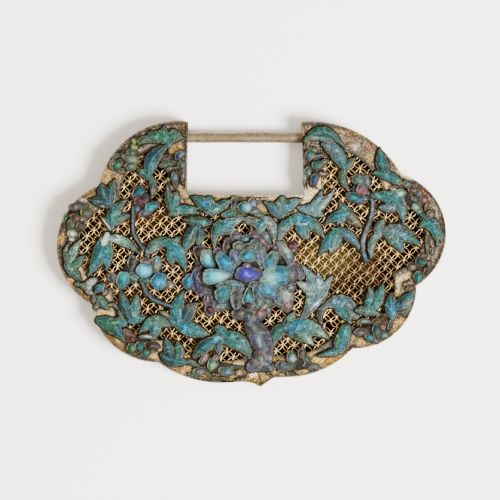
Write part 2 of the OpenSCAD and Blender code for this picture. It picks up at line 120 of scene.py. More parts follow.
# A colour times fixed shares of red, green and blue
def tinted(tree, colour, shares):
    return mix(tree, 1.0, colour, (*shares, 1), "MULTIPLY")


# What the mesh carries at each point under this name
def carried(tree, name):
    return addNode(tree, "ShaderNodeAttribute", attribute_name=name).outputs


# A vector's X, Y and Z, each by its letter
def parted(tree, vector):
    return addNode(tree, "ShaderNodeSeparateXYZ", {"Vector": vector}).outputs


# How far a point lies from the middle of an oval spot seen from above, in shares of its size
def spotReach(tree, point, shift, scale):
    spot = addNode(tree, "ShaderNodeMapping", {"Vector": point, "Location": shift, "Scale": scale})
    reach = addNode(tree, "ShaderNodeVectorMath", {0: spot.outputs["Vector"]}, operation="LENGTH")
    return reach.outputs["Value"]


def stretch(tree, vector, scale):
    return addNode(tree, "ShaderNodeMapping", {"Vector": vector, "Scale": scale}).outputs["Vector"]


def relief(tree, height, strength, distance):
    values = {"Height": height, "Strength": strength, "Distance": distance}
    return addNode(tree, "ShaderNodeBump", values).outputs["Normal"]


def newMaterial(name):
    material = bpy.data.materials.new(name)
    material.use_nodes = True
    tree = material.node_tree
    return material, tree, tree.nodes["Principled BSDF"]


# Camera straight above: 0.3 mm of the object for each pixel of a 500 x 500 picture
cameraSettings = {"middle": (-0.45, 1.2), "away": 1000.0, "level": 7.0, "widthSeen": 150.0, "sensor": 36,
                  "near": 0.01, "far": 20}


def makeCamera():
    data = bpy.data.cameras.new("camera")
    data.sensor_width = cameraSettings["sensor"]
    data.lens = data.sensor_width * cameraSettings["away"] / cameraSettings["widthSeen"]
    data.clip_start = cameraSettings["near"]
    data.clip_end = cameraSettings["far"]
    data.dof.use_dof = False
    camera = bpy.data.objects.new("camera", data)
    x, y = cameraSettings["middle"]
    camera.location = (x * mm, y * mm, (cameraSettings["level"] + cameraSettings["away"]) * mm)
    bpy.context.scene.collection.objects.link(camera)
    bpy.context.scene.camera = camera


# Soft light from high at the lower right, a weak one from the left, and a pale sky
lightSettings = {
    "key": {"place": (0.68, -0.32, 0.8), "size": 0.5, "power": 78.0, "colour": (1.0, 0.985, 0.97)},
    "fill": {"place": (-0.5, 0.2, 0.8), "size": 0.7, "power": 3.0, "colour": (1.0, 0.95, 0.88)},
    "sky": (1.0, 0.90, 0.77), "skyStrength": 1.35,
}


def makeLights():
    for name in ("key", "fill"):
        row = lightSettings[name]
        data = bpy.data.lights.new(name, "AREA")
        data.shape = "DISK"
        data.size = row["size"]
        data.energy = row["power"]
        data.color = row["colour"]
        lamp = bpy.data.objects.new(name, data)
        lamp.location = row["place"]
        aim = np.array(row["place"])
        lamp.rotation_euler = (math.atan2(math.hypot(aim[0], aim[1]), aim[2]), 0,
                               math.atan2(aim[1], aim[0]) + math.pi / 2)
        bpy.context.scene.collection.objects.link(lamp)
    world = bpy.data.worlds.new("sky")
    world.use_nodes = True
    back = world.node_tree.nodes["Background"]
    back.inputs["Color"].default_value = (*lightSettings["sky"], 1)
    back.inputs["Strength"].default_value = lightSettings["skyStrength"]
    bpy.context.scene.world = world


floorSettings = {"half": 1.2, "drop": 0.00003, "colour": "f1eeea", "shade": "ebe7e2",
                 "mottle": (9.0, 2.0), "rough": 0.75}


def makeFloor():
    half = floorSettings["half"]
    z = -floorSettings["drop"]
    mesh = bpy.data.meshes.new("floor")
    mesh.from_pydata([(-half, -half, z), (half, -half, z), (half, half, z), (-half, half, z)], [],
                     [(0, 1, 2, 3)])
    floor = bpy.data.objects.new("floor", mesh)
    bpy.context.scene.collection.objects.link(floor)
    material, tree, shader = newMaterial("paleBoard")
    soft = grain(tree, objectPoint(tree), *floorSettings["mottle"])
    pale, shade = paint(floorSettings["colour"], 1), paint(floorSettings["shade"], 1)
    feed(tree, shader.inputs["Base Color"], mix(tree, soft, pale, shade))
    shader.inputs["Roughness"].default_value = floorSettings["rough"]
    mesh.materials.append(material)


makeCamera()
makeLights()
makeFloor()
print("camera, lights and floor are ready")


# Tarnished gilt silver: gold rubbed bright, brown tarnish in clouds, grey specks, fine scratches. In
# this and the other finishes a noise's values are its scale, detail, roughness and warp, and a relief's
# are its strength and its depth in metres.
gilt = {
    "gold": "be9654", "paleGold": "e4c68a", "brown": "5c4a34", "dark": "20180e", "grey": "6a6452",
    "tan": "d0b888", "seam": "140d07", "clouds": (130.0, 5.0, 0.65, 0.6), "specks": (900.0, 4.0, 0.7),
    "broad": (38.0, 2.0), "pitting": (420.0, 3.0, 0.6, 0.3), "scratches": (300.0, 2600.0, 900.0),
    "metal": (0.85, 0.35), "rough": (0.34, 0.62), "relief": (0.35, 0.0004),
}


def giltMaterial(name, tarnish):
    material, tree, shader = newMaterial(name)
    point = objectPoint(tree)
    clouds = grain(tree, point, *gilt["clouds"])
    specks = grain(tree, point, *gilt["specks"])
    broad = grain(tree, point, *gilt["broad"])
    gold = mix(tree, remap(tree, specks, 0.35, 0.65), paint(tarnish.get("gold", gilt["gold"])),
               paint(tarnish.get("paleGold", gilt["paleGold"])))
    worn = mix(tree, remap(tree, specks, 0.4, 0.6), paint(gilt["brown"]), paint(gilt["grey"]))
    level = plus(tree, clouds, times(tree, broad, 0.6))
    share = remap(tree, level, tarnish["from"], tarnish["to"])
    colour = mix(tree, share, gold, worn)
    pits = remap(tree, grain(tree, point, *gilt["pitting"]), 0.60, 0.70)
    colour = mix(tree, times(tree, pits, tarnish["pits"]), colour, paint(gilt["dark"]))
    feed(tree, shader.inputs["Base Color"], colour)
    feed(tree, shader.inputs["Metallic"], remap(tree, share, 0.0, 1.0, *gilt["metal"]))
    feed(tree, shader.inputs["Roughness"], remap(tree, share, 0.0, 1.0, *gilt["rough"]))
    scratches = grain(tree, stretch(tree, point, gilt["scratches"]), 1.0, 2.0)
    surface = plus(tree, clouds, times(tree, scratches, 0.3))
    feed(tree, shader.inputs["Normal"], relief(tree, surface, *gilt["relief"]))
    return material


# The tray: gilt outside, dark brown inside, with an olive-gold patch on its floor at the right: gilding
# painted as lit, a painted pool of light where light reaches in through the field. Inside is what faces up
# and lies lower than depth, in metres.
tray = {"inner": "3e2813", "innerPale": "563a1c", "patch": "6a5628", "depth": 0.002, "shine": 0.5,
        "litPatchShift": (-2.0, 0.1, 0.0), "litPatchScale": (92.0, 140.0, 0.0), "ragged": (90.0, 3.0),
        "mottle": (240.0, 3.0)}


def trayMaterial():
    material = giltMaterial("giltCase", {"from": 0.72, "to": 1.15, "pits": 0.8})
    tree = material.node_tree
    shader = tree.nodes["Principled BSDF"]
    point = objectPoint(tree)
    shape = addNode(tree, "ShaderNodeNewGeometry")
    up = parted(tree, shape.outputs["Normal"])["Z"]
    level = parted(tree, point)["Z"]
    inside = times(tree, maths(tree, "GREATER_THAN", up, 0.5), maths(tree, "LESS_THAN", level, tray["depth"]))
    # Painted pool of light: the olive-gold patch lightens the dark inner floor where light reaches in
    reach = spotReach(tree, point, tray["litPatchShift"], tray["litPatchScale"])
    patch = remap(tree, plus(tree, reach, grain(tree, point, *tray["ragged"])), 1.6, 0.95)
    mottled = remap(tree, grain(tree, point, *tray["mottle"]), 0.42, 0.62)
    inner = mix(tree, mottled, paint(tray["inner"]), paint(tray["innerPale"]))
    inner = mix(tree, patch, inner, paint(tray["patch"]))
    old = shader.inputs["Base Color"].links[0].from_socket
    feed(tree, shader.inputs["Base Color"], mix(tree, inside, old, inner))
    metal = shader.inputs["Metallic"].links[0].from_socket
    outside = maths(tree, "SUBTRACT", 1.0, inside)
    feed(tree, shader.inputs["Metallic"], times(tree, metal, outside))
    feed(tree, shader.inputs["Specular IOR Level"], times(tree, outside, tray["shine"]))
    return material


# The front border. The mesh carries, in millimetres, how far a spot is from the nearest patch of bright
# gilding, how far in from the outer edge, and how far out from the pierced field (wear;
# the last two place painted shade in the groove inside the outer lip and beside the field's wire), and the
# colour of that patch, with how much of the spot is a dark seam (patchTint). Elsewhere the gilding has
# gone brown, grey and black.
borderGold = {
    "clouds": (330.0, 5.0, 0.65, 0.5), "broad": (95.0, 3.0, 0.6, 0.6), "specks": (1400.0, 4.0, 0.7),
    "grit": (2600.0, 3.0, 0.7), "shade": (0.34, 0.26, 0.16), "glint": (1.6, 1.55, 1.45),
    "metal": (0.3, 0.75), "rough": (0.6, 0.38), "shine": 0.2, "relief": (0.5, 0.0002),
}


def borderMaterial():
    material, tree, shader = newMaterial("giltBorder")
    point = objectPoint(tree)
    wear = carried(tree, "wear")["Vector"]
    patch = carried(tree, "patchTint")
    patchTint, seam = patch["Color"], patch["Alpha"]
    split = parted(tree, wear)
    clouds = grain(tree, point, *borderGold["clouds"])
    broad = grain(tree, point, *borderGold["broad"])
    specks = grain(tree, point, *borderGold["specks"])
    grit = grain(tree, point, *borderGold["grit"])
    ragged = plus(tree, split["X"], remap(tree, clouds, 0.3, 0.7, -1.1, 1.1))
    ragged = plus(tree, ragged, remap(tree, specks, 0.35, 0.65, -0.5, 0.5))
    bright = remap(tree, ragged, 0.35, -0.3)
    rubbed = remap(tree, plus(tree, broad, times(tree, clouds, 0.5)), 0.86, 0.94)
    worn = mix(tree, remap(tree, clouds, 0.40, 0.56), paint(gilt["dark"]), paint(gilt["brown"]))
    worn = mix(tree, remap(tree, broad, 0.44, 0.56, 0.0, 0.85), worn, paint(gilt["grey"]))
    worn = mix(tree, remap(tree, specks, 0.53, 0.63, 0.0, 0.85), worn, paint(gilt["tan"]))
    worn = mix(tree, times(tree, rubbed, 0.75), worn, paint(gilt["gold"]))
    shade = tinted(tree, patchTint, borderGold["shade"])
    patch = mix(tree, remap(tree, plus(tree, specks, clouds), 0.80, 1.04), shade, patchTint)
    glint = tinted(tree, patchTint, borderGold["glint"])
    patch = mix(tree, remap(tree, specks, 0.52, 0.62), patch, glint)
    colour = mix(tree, bright, worn, patch)
    colour = mix(tree, 0.9, colour, remap(tree, grit, 0.40, 0.60, 0.35, 1.9), "MULTIPLY")
    # Painted shade: darker in the groove between the outer lip and the fine line, less so on bright gilding
    rimShade = times(tree, remap(tree, split["Y"], 0.55, 0.7), remap(tree, split["Y"], 1.12, 0.98))
    rimShade = times(tree, rimShade, remap(tree, bright, 0.0, 1.0, 1.0, 0.3))
    # Painted shade: a dark band just outside the wire along the pierced field
    inner = remap(tree, split["Z"], 0.85, 0.5)
    dark = plus(tree, times(tree, rimShade, 0.75), times(tree, inner, 0.5))
    dark = plus(tree, dark, times(tree, remap(tree, specks, 0.42, 0.34), 0.6))
    colour = mix(tree, maths(tree, "MINIMUM", dark, 1.0), colour, paint(gilt["dark"]))
    colour = mix(tree, times(tree, seam, 0.9), colour, paint(gilt["seam"]))
    feed(tree, shader.inputs["Base Color"], colour)
    feed(tree, shader.inputs["Metallic"], remap(tree, bright, 0.0, 1.0, *borderGold["metal"]))
    feed(tree, shader.inputs["Roughness"], remap(tree, bright, 0.0, 1.0, *borderGold["rough"]))
    shader.inputs["Specular IOR Level"].default_value = borderGold["shine"]
    feed(tree, shader.inputs["Normal"], relief(tree, plus(tree, clouds, specks), *borderGold["relief"]))
    return material


barTarnish = {"from": 0.72, "to": 1.12, "pits": 0.5, "gold": "b89a6a", "paleGold": "e8d2a4"}
barGilt = giltMaterial("giltBar", barTarnish)
caseGilt = trayMaterial()
borderGilt = borderMaterial()


# Feather inlay in a metal cell. The mesh carries its colour and how rough its barbs are (tint), the
# colour of its raised rim (rimTint), how much of a spot is rim, vein and the painted shadow line inside the
# rim (marks), and where a spot lies along and across its barbs in millimetres (barbs). The vein colour is
# painted pale as a glint, and the lighter copy of the tint is partly the feather's paler tone and partly a
# painted sheen.
inlay = {
    "barbsPerMm": 2.6, "hairsPerMm": 8.0, "lost": "2a1c10", "vein": "a4c4bc", "rimShade": "1a140c",
    "haze": "c8e0c8", "roughness": 0.55, "rimRoughness": 0.42, "rimMetal": 0.3, "shine": 0.08,
    "greener": (1.0, 0.95, 0.74), "bluer": (0.78, 1.0, 1.12), "dark": (0.20, 0.26, 0.26),
    "light": (3.0, 2.6, 2.6), "wornRim": (0.16, 0.14, 0.11), "drift": (230.0, 2.0, 0.5, 0.3),
    "mottle": (620.0, 4.0, 0.62, 0.4), "flecks": (1900.0, 3.0, 0.6), "grit": (3000.0, 2.0, 0.6),
    "relief": (0.5, 0.0002),
}


def featherMaterial():
    material, tree, shader = newMaterial("featherInlay")
    inlaid = carried(tree, "tint")
    tint, rough = inlaid["Color"], inlaid["Alpha"]
    rimTint = carried(tree, "rimTint")["Color"]
    marks = carried(tree, "marks")["Vector"]
    barbs = carried(tree, "barbs")["Vector"]
    split = parted(tree, marks)
    rim, vein, rimShade = split["X"], split["Y"], split["Z"]
    point = objectPoint(tree)
    coarse = grain(tree, stretch(tree, barbs, (inlay["barbsPerMm"], 0.5, 1.0)), 1.0, 3.0, 0.6)
    hairs = grain(tree, stretch(tree, barbs, (inlay["hairsPerMm"], 0.8, 1.0)), 1.0, 2.0)
    drift = grain(tree, point, *inlay["drift"])
    mottle = grain(tree, point, *inlay["mottle"])
    flecks = grain(tree, point, *inlay["flecks"])
    greener, bluer = tinted(tree, tint, inlay["greener"]), tinted(tree, tint, inlay["bluer"])
    varied = mix(tree, remap(tree, drift, 0.40, 0.60), greener, bluer)
    # The lighter copy made here is partly the feather's paler tone and partly a painted sheen, laid on in
    # random patches and in streaks along the barbs
    dark, light = tinted(tree, varied, inlay["dark"]), tinted(tree, varied, inlay["light"])
    light = mix(tree, 0.05, light, paint(inlay["haze"], 0.5))
    value = addNode(tree, "ShaderNodeSeparateColor", {"Color": tint}, mode="HSV").outputs[2]
    pale = remap(tree, value, 0.10, 0.24, 0.0, 0.85)
    colour = mix(tree, maths(tree, "MAXIMUM", remap(tree, coarse, 0.36, 0.56), pale), dark, varied)
    colour = mix(tree, times(tree, remap(tree, mottle, 0.52, 0.64, 0.0, 0.9), rough), colour, light)
    colour = mix(tree, times(tree, remap(tree, hairs, 0.5, 0.7), 0.3), colour, light)
    grit = remap(tree, grain(tree, point, *inlay["grit"]), 0.38, 0.62, 0.35, 1.8)
    colour = mix(tree, times(tree, rough, 0.6), colour, grit, "MULTIPLY")
    lost = times(tree, remap(tree, flecks, 0.55, 0.63), maths(tree, "SUBTRACT", rough, pale))
    colour = mix(tree, maths(tree, "MAXIMUM", lost, 0.0), colour, paint(inlay["lost"]))
    wornRim = tinted(tree, rimTint, inlay["wornRim"])
    rimShare = times(tree, rim, remap(tree, mottle, 0.38, 0.52, 0.25, 1.0))
    colour = mix(tree, rimShare, colour, mix(tree, remap(tree, flecks, 0.39, 0.52), wornRim, rimTint))
    # Veins are raised, and painted pale as their glint, a painted highlight; on stems the same mark is a
    # painted highlight along the crest
    veinShare = times(tree, vein, remap(tree, flecks, 0.38, 0.54, 0.1, 0.9))
    colour = mix(tree, veinShare, colour, paint(inlay["vein"]))
    # Painted shadow: a dark line just inside the raised rim
    rimShadeShare = times(tree, rimShade, remap(tree, mottle, 0.34, 0.5, 0.5, 1.0))
    colour = mix(tree, rimShadeShare, colour, paint(inlay["rimShade"]))
    feed(tree, shader.inputs["Base Color"], colour)
    roughness = remap(tree, rim, 0.0, 1.0, inlay["roughness"], inlay["rimRoughness"])
    feed(tree, shader.inputs["Roughness"], roughness)
    feed(tree, shader.inputs["Metallic"], times(tree, rim, inlay["rimMetal"]))
    shader.inputs["Specular IOR Level"].default_value = inlay["shine"]
    surface = plus(tree, coarse, times(tree, flecks, 0.7))
    feed(tree, shader.inputs["Normal"], relief(tree, surface, *inlay["relief"]))
    return material


# The lattice's wire: pale gold in patches, palest at the soldered crossings, partly the solder's own colour
# and partly a painted highlight, with one dull area
wires = {
    "gold": ("ffda8c", 0.6), "worn": ("ca9664", 0.43), "solder": ("fadc90", 0.7), "dull": ("6a5444", 0.4),
    "brown": "5c4020", "dullShift": (-2.97, 0.84, 0.0), "dullScale": (90.0, 120.0, 0.0),
    "patches": (230.0, 3.0, 0.6), "fine": (1500.0, 2.0), "metal": 0.7, "rough": (0.25, 0.45),
}


def wireMaterial():
    material, tree, shader = newMaterial("latticeWire")
    point = objectPoint(tree)
    patchy = grain(tree, point, *wires["patches"])
    fine = grain(tree, point, *wires["fine"])
    solder = parted(tree, carried(tree, "solder")["Vector"])["X"]
    colour = mix(tree, remap(tree, patchy, 0.44, 0.64), paint(*wires["gold"]), paint(*wires["worn"]))
    colour = mix(tree, solder, colour, paint(*wires["solder"]))
    reach = spotReach(tree, point, wires["dullShift"], wires["dullScale"])
    dull = remap(tree, plus(tree, reach, patchy), 1.8, 1.05, 0.0, 0.7)
    colour = mix(tree, dull, colour, paint(*wires["dull"]))
    colour = mix(tree, remap(tree, fine, 0.56, 0.68), colour, paint(wires["brown"]))
    feed(tree, shader.inputs["Base Color"], colour)
    shader.inputs["Metallic"].default_value = wires["metal"]
    feed(tree, shader.inputs["Roughness"], remap(tree, fine, 0.3, 0.7, *wires["rough"]))
    return material


feather = featherMaterial()
wire = wireMaterial()
print("materials are ready")


# Puts arrays into a mesh object that rides on the body and stands for one CAD node
def makePiece(nodeName, points, quads, triangles, material, channels=None, sharpAngle=42):
    words = nodeName.split("_")
    name = words[0] + "".join(word.capitalize() for word in words[1:])
    mesh = bpy.data.meshes.new(name)
    mesh.vertices.add(len(points))
    mesh.vertices.foreach_set("co", (np.asarray(points) * mm).astype(np.float32).ravel())
    corners = np.concatenate([quads.ravel(), triangles.ravel()]).astype(np.int32)
    starts = np.concatenate([np.arange(len(quads)) * 4, len(quads) * 4 + np.arange(len(triangles)) * 3])
    mesh.loops.add(len(corners))
    mesh.loops.foreach_set("vertex_index", corners)
    mesh.polygons.add(len(starts))
    mesh.polygons.foreach_set("loop_start", starts.astype(np.int32))
    mesh.update(calc_edges=True)
    mesh.validate()
    mesh.polygons.foreach_set("use_smooth", np.ones(len(mesh.polygons), bool))
    mesh.set_sharp_from_angle(angle=math.radians(sharpAngle))
    for key, values in (channels or {}).items():
        isColour = values.shape[1] == 4
        kind = "FLOAT_COLOR" if isColour else "FLOAT_VECTOR"
        layer = mesh.attributes.new(key, kind, "POINT")
        layer.data.foreach_set("color" if isColour else "vector", values.astype(np.float32).ravel())
    mesh.materials.append(material)
    piece = bpy.data.objects.new(name, mesh)
    bpy.context.scene.collection.objects.link(piece)
    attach(piece, "root")
    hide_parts(nodeName)
    return piece


noTriangles = np.zeros((0, 3), int)
border = {"z": 6.5, "top": 7.0, "lip": 7.3, "width": 6.5, "notchWidth": 5.7, "gap": 0.05}
seats = (border["z"] + border["gap"], border["lip"] + border["gap"])   # on the lattice, on the border
lobes = np.array([[-22.0, 15.8, 24.1], [-38.9, 2.2, 19.5], [-28.3, -12.9, 19.6], [-9.0, -6.7, 32.0],
                  [10.2, -9.1, 27.9], [30.9, -9.8, 18.6], [40.1, 6.2, 18.3], [18.3, 9.4, 30.3]])
tip = np.array([[-9, -30], [-9, -38.7], [-2.4, -38.3], [0.6, -38.8], [2.6, -39.9], [4.6, -38.6], [6.6, -37.1],
                [10.2, -37], [10.2, -30]])
tipLobe = 3          # the lobe that the tip grows from
notch = {"left": -19.5, "right": 15.9, "floor": 17.75, "leftLean": 0.022, "rightLean": 0.0404}


# Distance into the notch, above 0 inside it, with its sides moved out and its floor down by grow
def notchDistance(x, y, grow):
    left = notch["left"] - grow + notch["leftLean"] * (y - notch["floor"])
    right = notch["right"] + grow - notch["rightLean"] * (y - notch["floor"])
    return np.minimum(np.minimum(x - left, right - x), y - (notch["floor"] - grow))


# Distance to the edge of the pierced field, below 0 inside: the nearest lobe's circle drawn in by the
# border's width, cut by the notch grown by its own border
def fieldDistance(x, y):
    reach = np.min([np.hypot(x - cx, y - cy) - (r - border["width"]) for cx, cy, r in lobes], axis=0)
    return np.maximum(reach, notchDistance(x, y, border["notchWidth"]))


# Distance to a closed run of straight edges, below 0 inside it: the nearest edge, with the sign from how
# many edges a line to the right crosses
def polygonDistance(x, y, corners):
    nearest = np.full(np.shape(x), np.inf)
    inside = np.zeros(np.shape(x), bool)
    for a, b in zip(corners, np.roll(corners, -1, axis=0)):
        nearest = np.minimum(nearest, strokeDistance(x, y, a, b))
        crosses = (a[1] > y) != (b[1] > y)
        at = a[0] + (y - a[1]) * (b[0] - a[0]) / (b[1] - a[1] if b[1] != a[1] else 1)
        inside ^= crosses & (x < at)
    return np.where(inside, -nearest, nearest)


# Distance to the straight stroke from a to b
def strokeDistance(x, y, a, b):
    stepX, stepY = b[0] - a[0], b[1] - a[1]
    t = np.clip(((x - a[0]) * stepX + (y - a[1]) * stepY) / max(stepX ** 2 + stepY ** 2, 1e-9), 0, 1)
    return np.hypot(x - a[0] - t * stepX, y - a[1] - t * stepY)


# Distance to the lock's outline, below 0 inside: the lobes and the tip together, cut by the notch
def outerDistance(x, y):
    reach = np.min([np.hypot(x - cx, y - cy) - r for cx, cy, r in lobes], axis=0)
    return np.maximum(np.minimum(reach, polygonDistance(x, y, tip)), notchDistance(x, y, 0))


# 0 up to low and 1 from high on, with the soft curve t t (3 - 2 t) between
def smooth(value, low, high):
    t = np.clip((value - low) / (high - low), 0, 1)
    return t * t * (3 - 2 * t)


# 1 at 0, falling off on both sides: e to the power of minus (value / half) squared
def bell(value, half):
    return np.exp(-(value / half) ** 2)


coins = {
    "stepX": 3.65, "stepY": 1.83, "halfColumns": 18, "halfRows": 24, "z": 6.25, "bulge": 0.55,
    "bulgeSpread": (0.75, 1.15), "wireRadius": 0.094, "radiusSpread": (0.8, 1.15), "blob": 0.2, "drop": 0.12,
    "sides": 5, "segments": 6, "jitter": 0.12, "missing": 0.004, "lap": 1.1, "sharpAngle": 80,
}


# Coin lattice: crossings lie on a diamond net, (stepX (i + half of every second row), stepY j), and
# two arcs join each crossing to its upper neighbours. An arc is the straight way from a to b, plus
# bulge sin(pi s) sideways; a round section of a few sides is carried along it.
def makeLattice():
    random = np.random.default_rng(7)
    i, j = np.meshgrid(np.arange(-coins["halfColumns"], coins["halfColumns"] + 1),
                       np.arange(-coins["halfRows"], coins["halfRows"] + 1))
    crossing = np.stack([coins["stepX"] * (i + 0.5 * (j % 2)), coins["stepY"] * j], axis=-1).astype(float)
    crossing += random.normal(0, coins["jitter"], crossing.shape)
    drop = random.uniform(-coins["drop"], coins["drop"], i.shape)
    starts, ends, low, high = [], [], [], []
    for row in range(i.shape[0] - 1):
        odd = j[row, 0] % 2
        for side in (-1, 0):
            shift = side + odd
            columns = np.arange(1, i.shape[1] - 1)
            starts.append(crossing[row, columns])
            ends.append(crossing[row + 1, columns + shift])
            low.append(drop[row, columns])
            high.append(drop[row + 1, columns + shift])
    start, end = np.concatenate(starts), np.concatenate(ends)
    low, high = np.concatenate(low), np.concatenate(high)
    middle = (start + end) / 2
    inside = fieldDistance(middle[:, 0], middle[:, 1]) < coins["lap"]
    start, end, low, high = start[inside], end[inside], low[inside], high[inside]
    start, end = np.repeat(start, 2, axis=0), np.repeat(end, 2, axis=0)
    low, high = np.repeat(low, 2), np.repeat(high, 2)
    side = np.tile([1.0, -1.0], len(start) // 2)
    whole = random.uniform(0, 1, len(start)) > coins["missing"]
    start, end, low, high, side = start[whole], end[whole], low[whole], high[whole], side[whole]
    bulge = coins["bulge"] * side * random.uniform(*coins["bulgeSpread"], len(side))
    s = np.linspace(0, 1, coins["segments"] + 1)
    along = end - start
    across = np.stack([-along[:, 1], along[:, 0]], axis=1) / np.linalg.norm(along, axis=1)[:, None]
    path = (start[:, None] + along[:, None] * s[None, :, None]
            + across[:, None] * (bulge[:, None] * np.sin(np.pi * s))[:, :, None])
    z = coins["z"] + low[:, None] * (1 - s) + high[:, None] * s
    heading = along[:, None] + across[:, None] * (bulge[:, None] * np.pi * np.cos(np.pi * s))[:, :, None]
    heading /= np.linalg.norm(heading, axis=2)[:, :, None]
    sideways = np.stack([-heading[:, :, 1], heading[:, :, 0]], axis=2)
    turn = 2 * np.pi * np.arange(coins["sides"]) / coins["sides"]
    closeness = np.abs(2 * s - 1) ** 3
    radius = coins["wireRadius"] * random.uniform(*coins["radiusSpread"], len(side))[:, None, None]
    radius = radius * (1 + coins["blob"] * closeness)[None, :, None]
    flat = path[:, :, None] + sideways[:, :, None] * (radius * np.cos(turn))[:, :, :, None]
    level = z[:, :, None] + radius * np.sin(turn)
    points = np.concatenate([flat, level[:, :, :, None]], axis=3)
    count, stations, sides = level.shape
    index = np.arange(count * stations * sides).reshape(count, stations, sides)
    following = np.roll(index, -1, axis=2)
    quads = np.stack([index[:, :-1], index[:, 1:], following[:, 1:], following[:, :-1]], axis=-1)
    fans = []
    for k in range(1, sides - 1):
        fans.append(np.stack([index[:, 0, 0], index[:, 0, k], index[:, 0, k + 1]], axis=1))
        fans.append(np.stack([index[:, -1, 0], index[:, -1, k + 1], index[:, -1, k]], axis=1))
    # Crossings are painted paler: the solder's colour and a painted highlight
    solder = np.zeros((count * stations * sides, 3))
    solder[:, 0] = np.tile(np.repeat(closeness, sides), count)
    makePiece("lattice", points.reshape(-1, 3), quads.reshape(-1, 4)[:, ::-1],
              np.concatenate(fans)[:, ::-1], wire, {"solder": solder}, coins["sharpAngle"])
    print("lattice:", count, "arcs")


makeLattice()


rimPull = {"leastSlope": 0.3, "most": 0.9}           # most is in cells


# A raised sheet over a flat shape: square cells are kept where the shape's signed distance is below 0,
# their rim points are pulled on to its zero line along the distance's gradient, height(x, y) gives the
# top, a wall leans out from the rim to a thin foot on the seat, and the underside is flat. Leaves and
# stems paint the wall and foot near-black as a painted shadow outline.
def sheetOver(distance, height, low, high, cell, seat, foot):
    columns = int(np.ceil((high[0] - low[0]) / cell)) + 1
    rows = int(np.ceil((high[1] - low[1]) / cell)) + 1
    x, y = np.meshgrid(low[0] + cell * np.arange(columns), low[1] + cell * np.arange(rows))
    d = distance(x, y)
    kept = (d[:-1, :-1] + d[1:, :-1] + d[:-1, 1:] + d[1:, 1:]) < 0
    used = np.zeros(d.shape, int)
    for dr in (0, 1):
        for dc in (0, 1):
            used[dr:rows - 1 + dr, dc:columns - 1 + dc] += kept
    rim = (used > 0) & (used < 4)
    slopeY, slopeX = np.gradient(d, cell)
    steep = np.maximum(slopeX ** 2 + slopeY ** 2, rimPull["leastSlope"])
    shift = np.clip(d, -rimPull["most"] * cell, rimPull["most"] * cell) / steep
    x = np.where(rim, x - shift * slopeX, x)
    y = np.where(rim, y - shift * slopeY, y)
    outX, outY = slopeX / np.sqrt(steep), slopeY / np.sqrt(steep)
    inUse = used > 0
    number = np.full(d.shape, -1)
    number[inUse] = np.arange(inUse.sum())
    topX, topY = x[inUse], y[inUse]
    top = np.stack([topX, topY, height(topX, topY)], axis=1)
    ring = number[rim]
    rimNumber = np.full(inUse.sum(), -1)
    rimNumber[ring] = np.arange(len(ring))
    outward = np.stack([outX[rim], outY[rim]], axis=1)
    flat = top[ring, :2]
    wall = np.column_stack([flat + outward * foot["wall"], np.full(len(ring), seat + foot["height"])])
    base = np.column_stack([flat + outward * foot["width"], np.full(len(ring), seat)])
    below = np.column_stack([top[:, :2], np.full(len(top), seat)])
    below[ring] = base
    wallStart, belowStart = len(top), len(top) + len(ring)
    points = np.concatenate([top, wall, below])
    a, b = number[:-1, :-1][kept], number[:-1, 1:][kept]
    c, e = number[1:, 1:][kept], number[1:, :-1][kept]
    quads = [np.stack([a, b, c, e], axis=1), belowStart + np.stack([e, c, b, a], axis=1)]
    ringed = np.pad(kept, 1)
    for dr, dc, first, second in ((-1, 0, (0, 0), (0, 1)), (0, 1, (0, 1), (1, 1)),
                                  (1, 0, (1, 1), (1, 0)), (0, -1, (1, 0), (0, 0))):
        beside = ringed[1 + dr:rows + dr, 1 + dc:columns + dc]
        r, q = np.nonzero(kept & ~beside)
        p0 = number[r + first[0], q + first[1]]
        p1 = number[r + second[0], q + second[1]]
        w0, w1 = wallStart + rimNumber[p0], wallStart + rimNumber[p1]
        quads.append(np.stack([w0, w1, p1, p0], axis=1))
        quads.append(np.stack([belowStart + p0, belowStart + p1, w1, w0], axis=1))
    zone = np.concatenate([np.zeros(len(top)), np.ones(len(wall)), np.full(len(below), 2)])
    return points, np.concatenate(quads), zone


# How far a point lies from a fan of tapering blades, each a bent line with a half width at each of its
# points: the nearest stretch's distance to its middle line less the half width there. Also gives the
# way along and across that blade, its half width, and its number.
def bladeField(x, y, paths, halves):
    best = np.full(np.shape(x), np.inf)
    along, across, half, number = (np.zeros(np.shape(x)) for _ in range(4))
    for n, (path, width) in enumerate(zip(paths, halves)):
        step = path[1:] - path[:-1]
        length = np.linalg.norm(step, axis=1)
        before = np.concatenate([[0], np.cumsum(length)[:-1]])
        dx, dy = x[..., None] - path[:-1, 0], y[..., None] - path[:-1, 1]
        t = np.clip((dx * step[:, 0] + dy * step[:, 1]) / length ** 2, 0, 1)
        offX, offY = dx - t * step[:, 0], dy - t * step[:, 1]
        wide = width[:-1] + t * (width[1:] - width[:-1])
        gap = np.hypot(offX, offY) - wide
        nearest = np.argmin(gap, axis=-1)[..., None]
        pick = lambda values: np.take_along_axis(values, nearest, axis=-1)[..., 0]
        closer = pick(gap) < best
        best = np.where(closer, pick(gap), best)
        side = np.sign(step[:, 0] * offY - step[:, 1] * offX) * np.hypot(offX, offY)
        along = np.where(closer, pick(before + t * length), along)
        across = np.where(closer, pick(side), across)
        half = np.where(closer, pick(wide), half)
        number = np.where(closer, n, number)
    return best, along, across, half, number.astype(int)


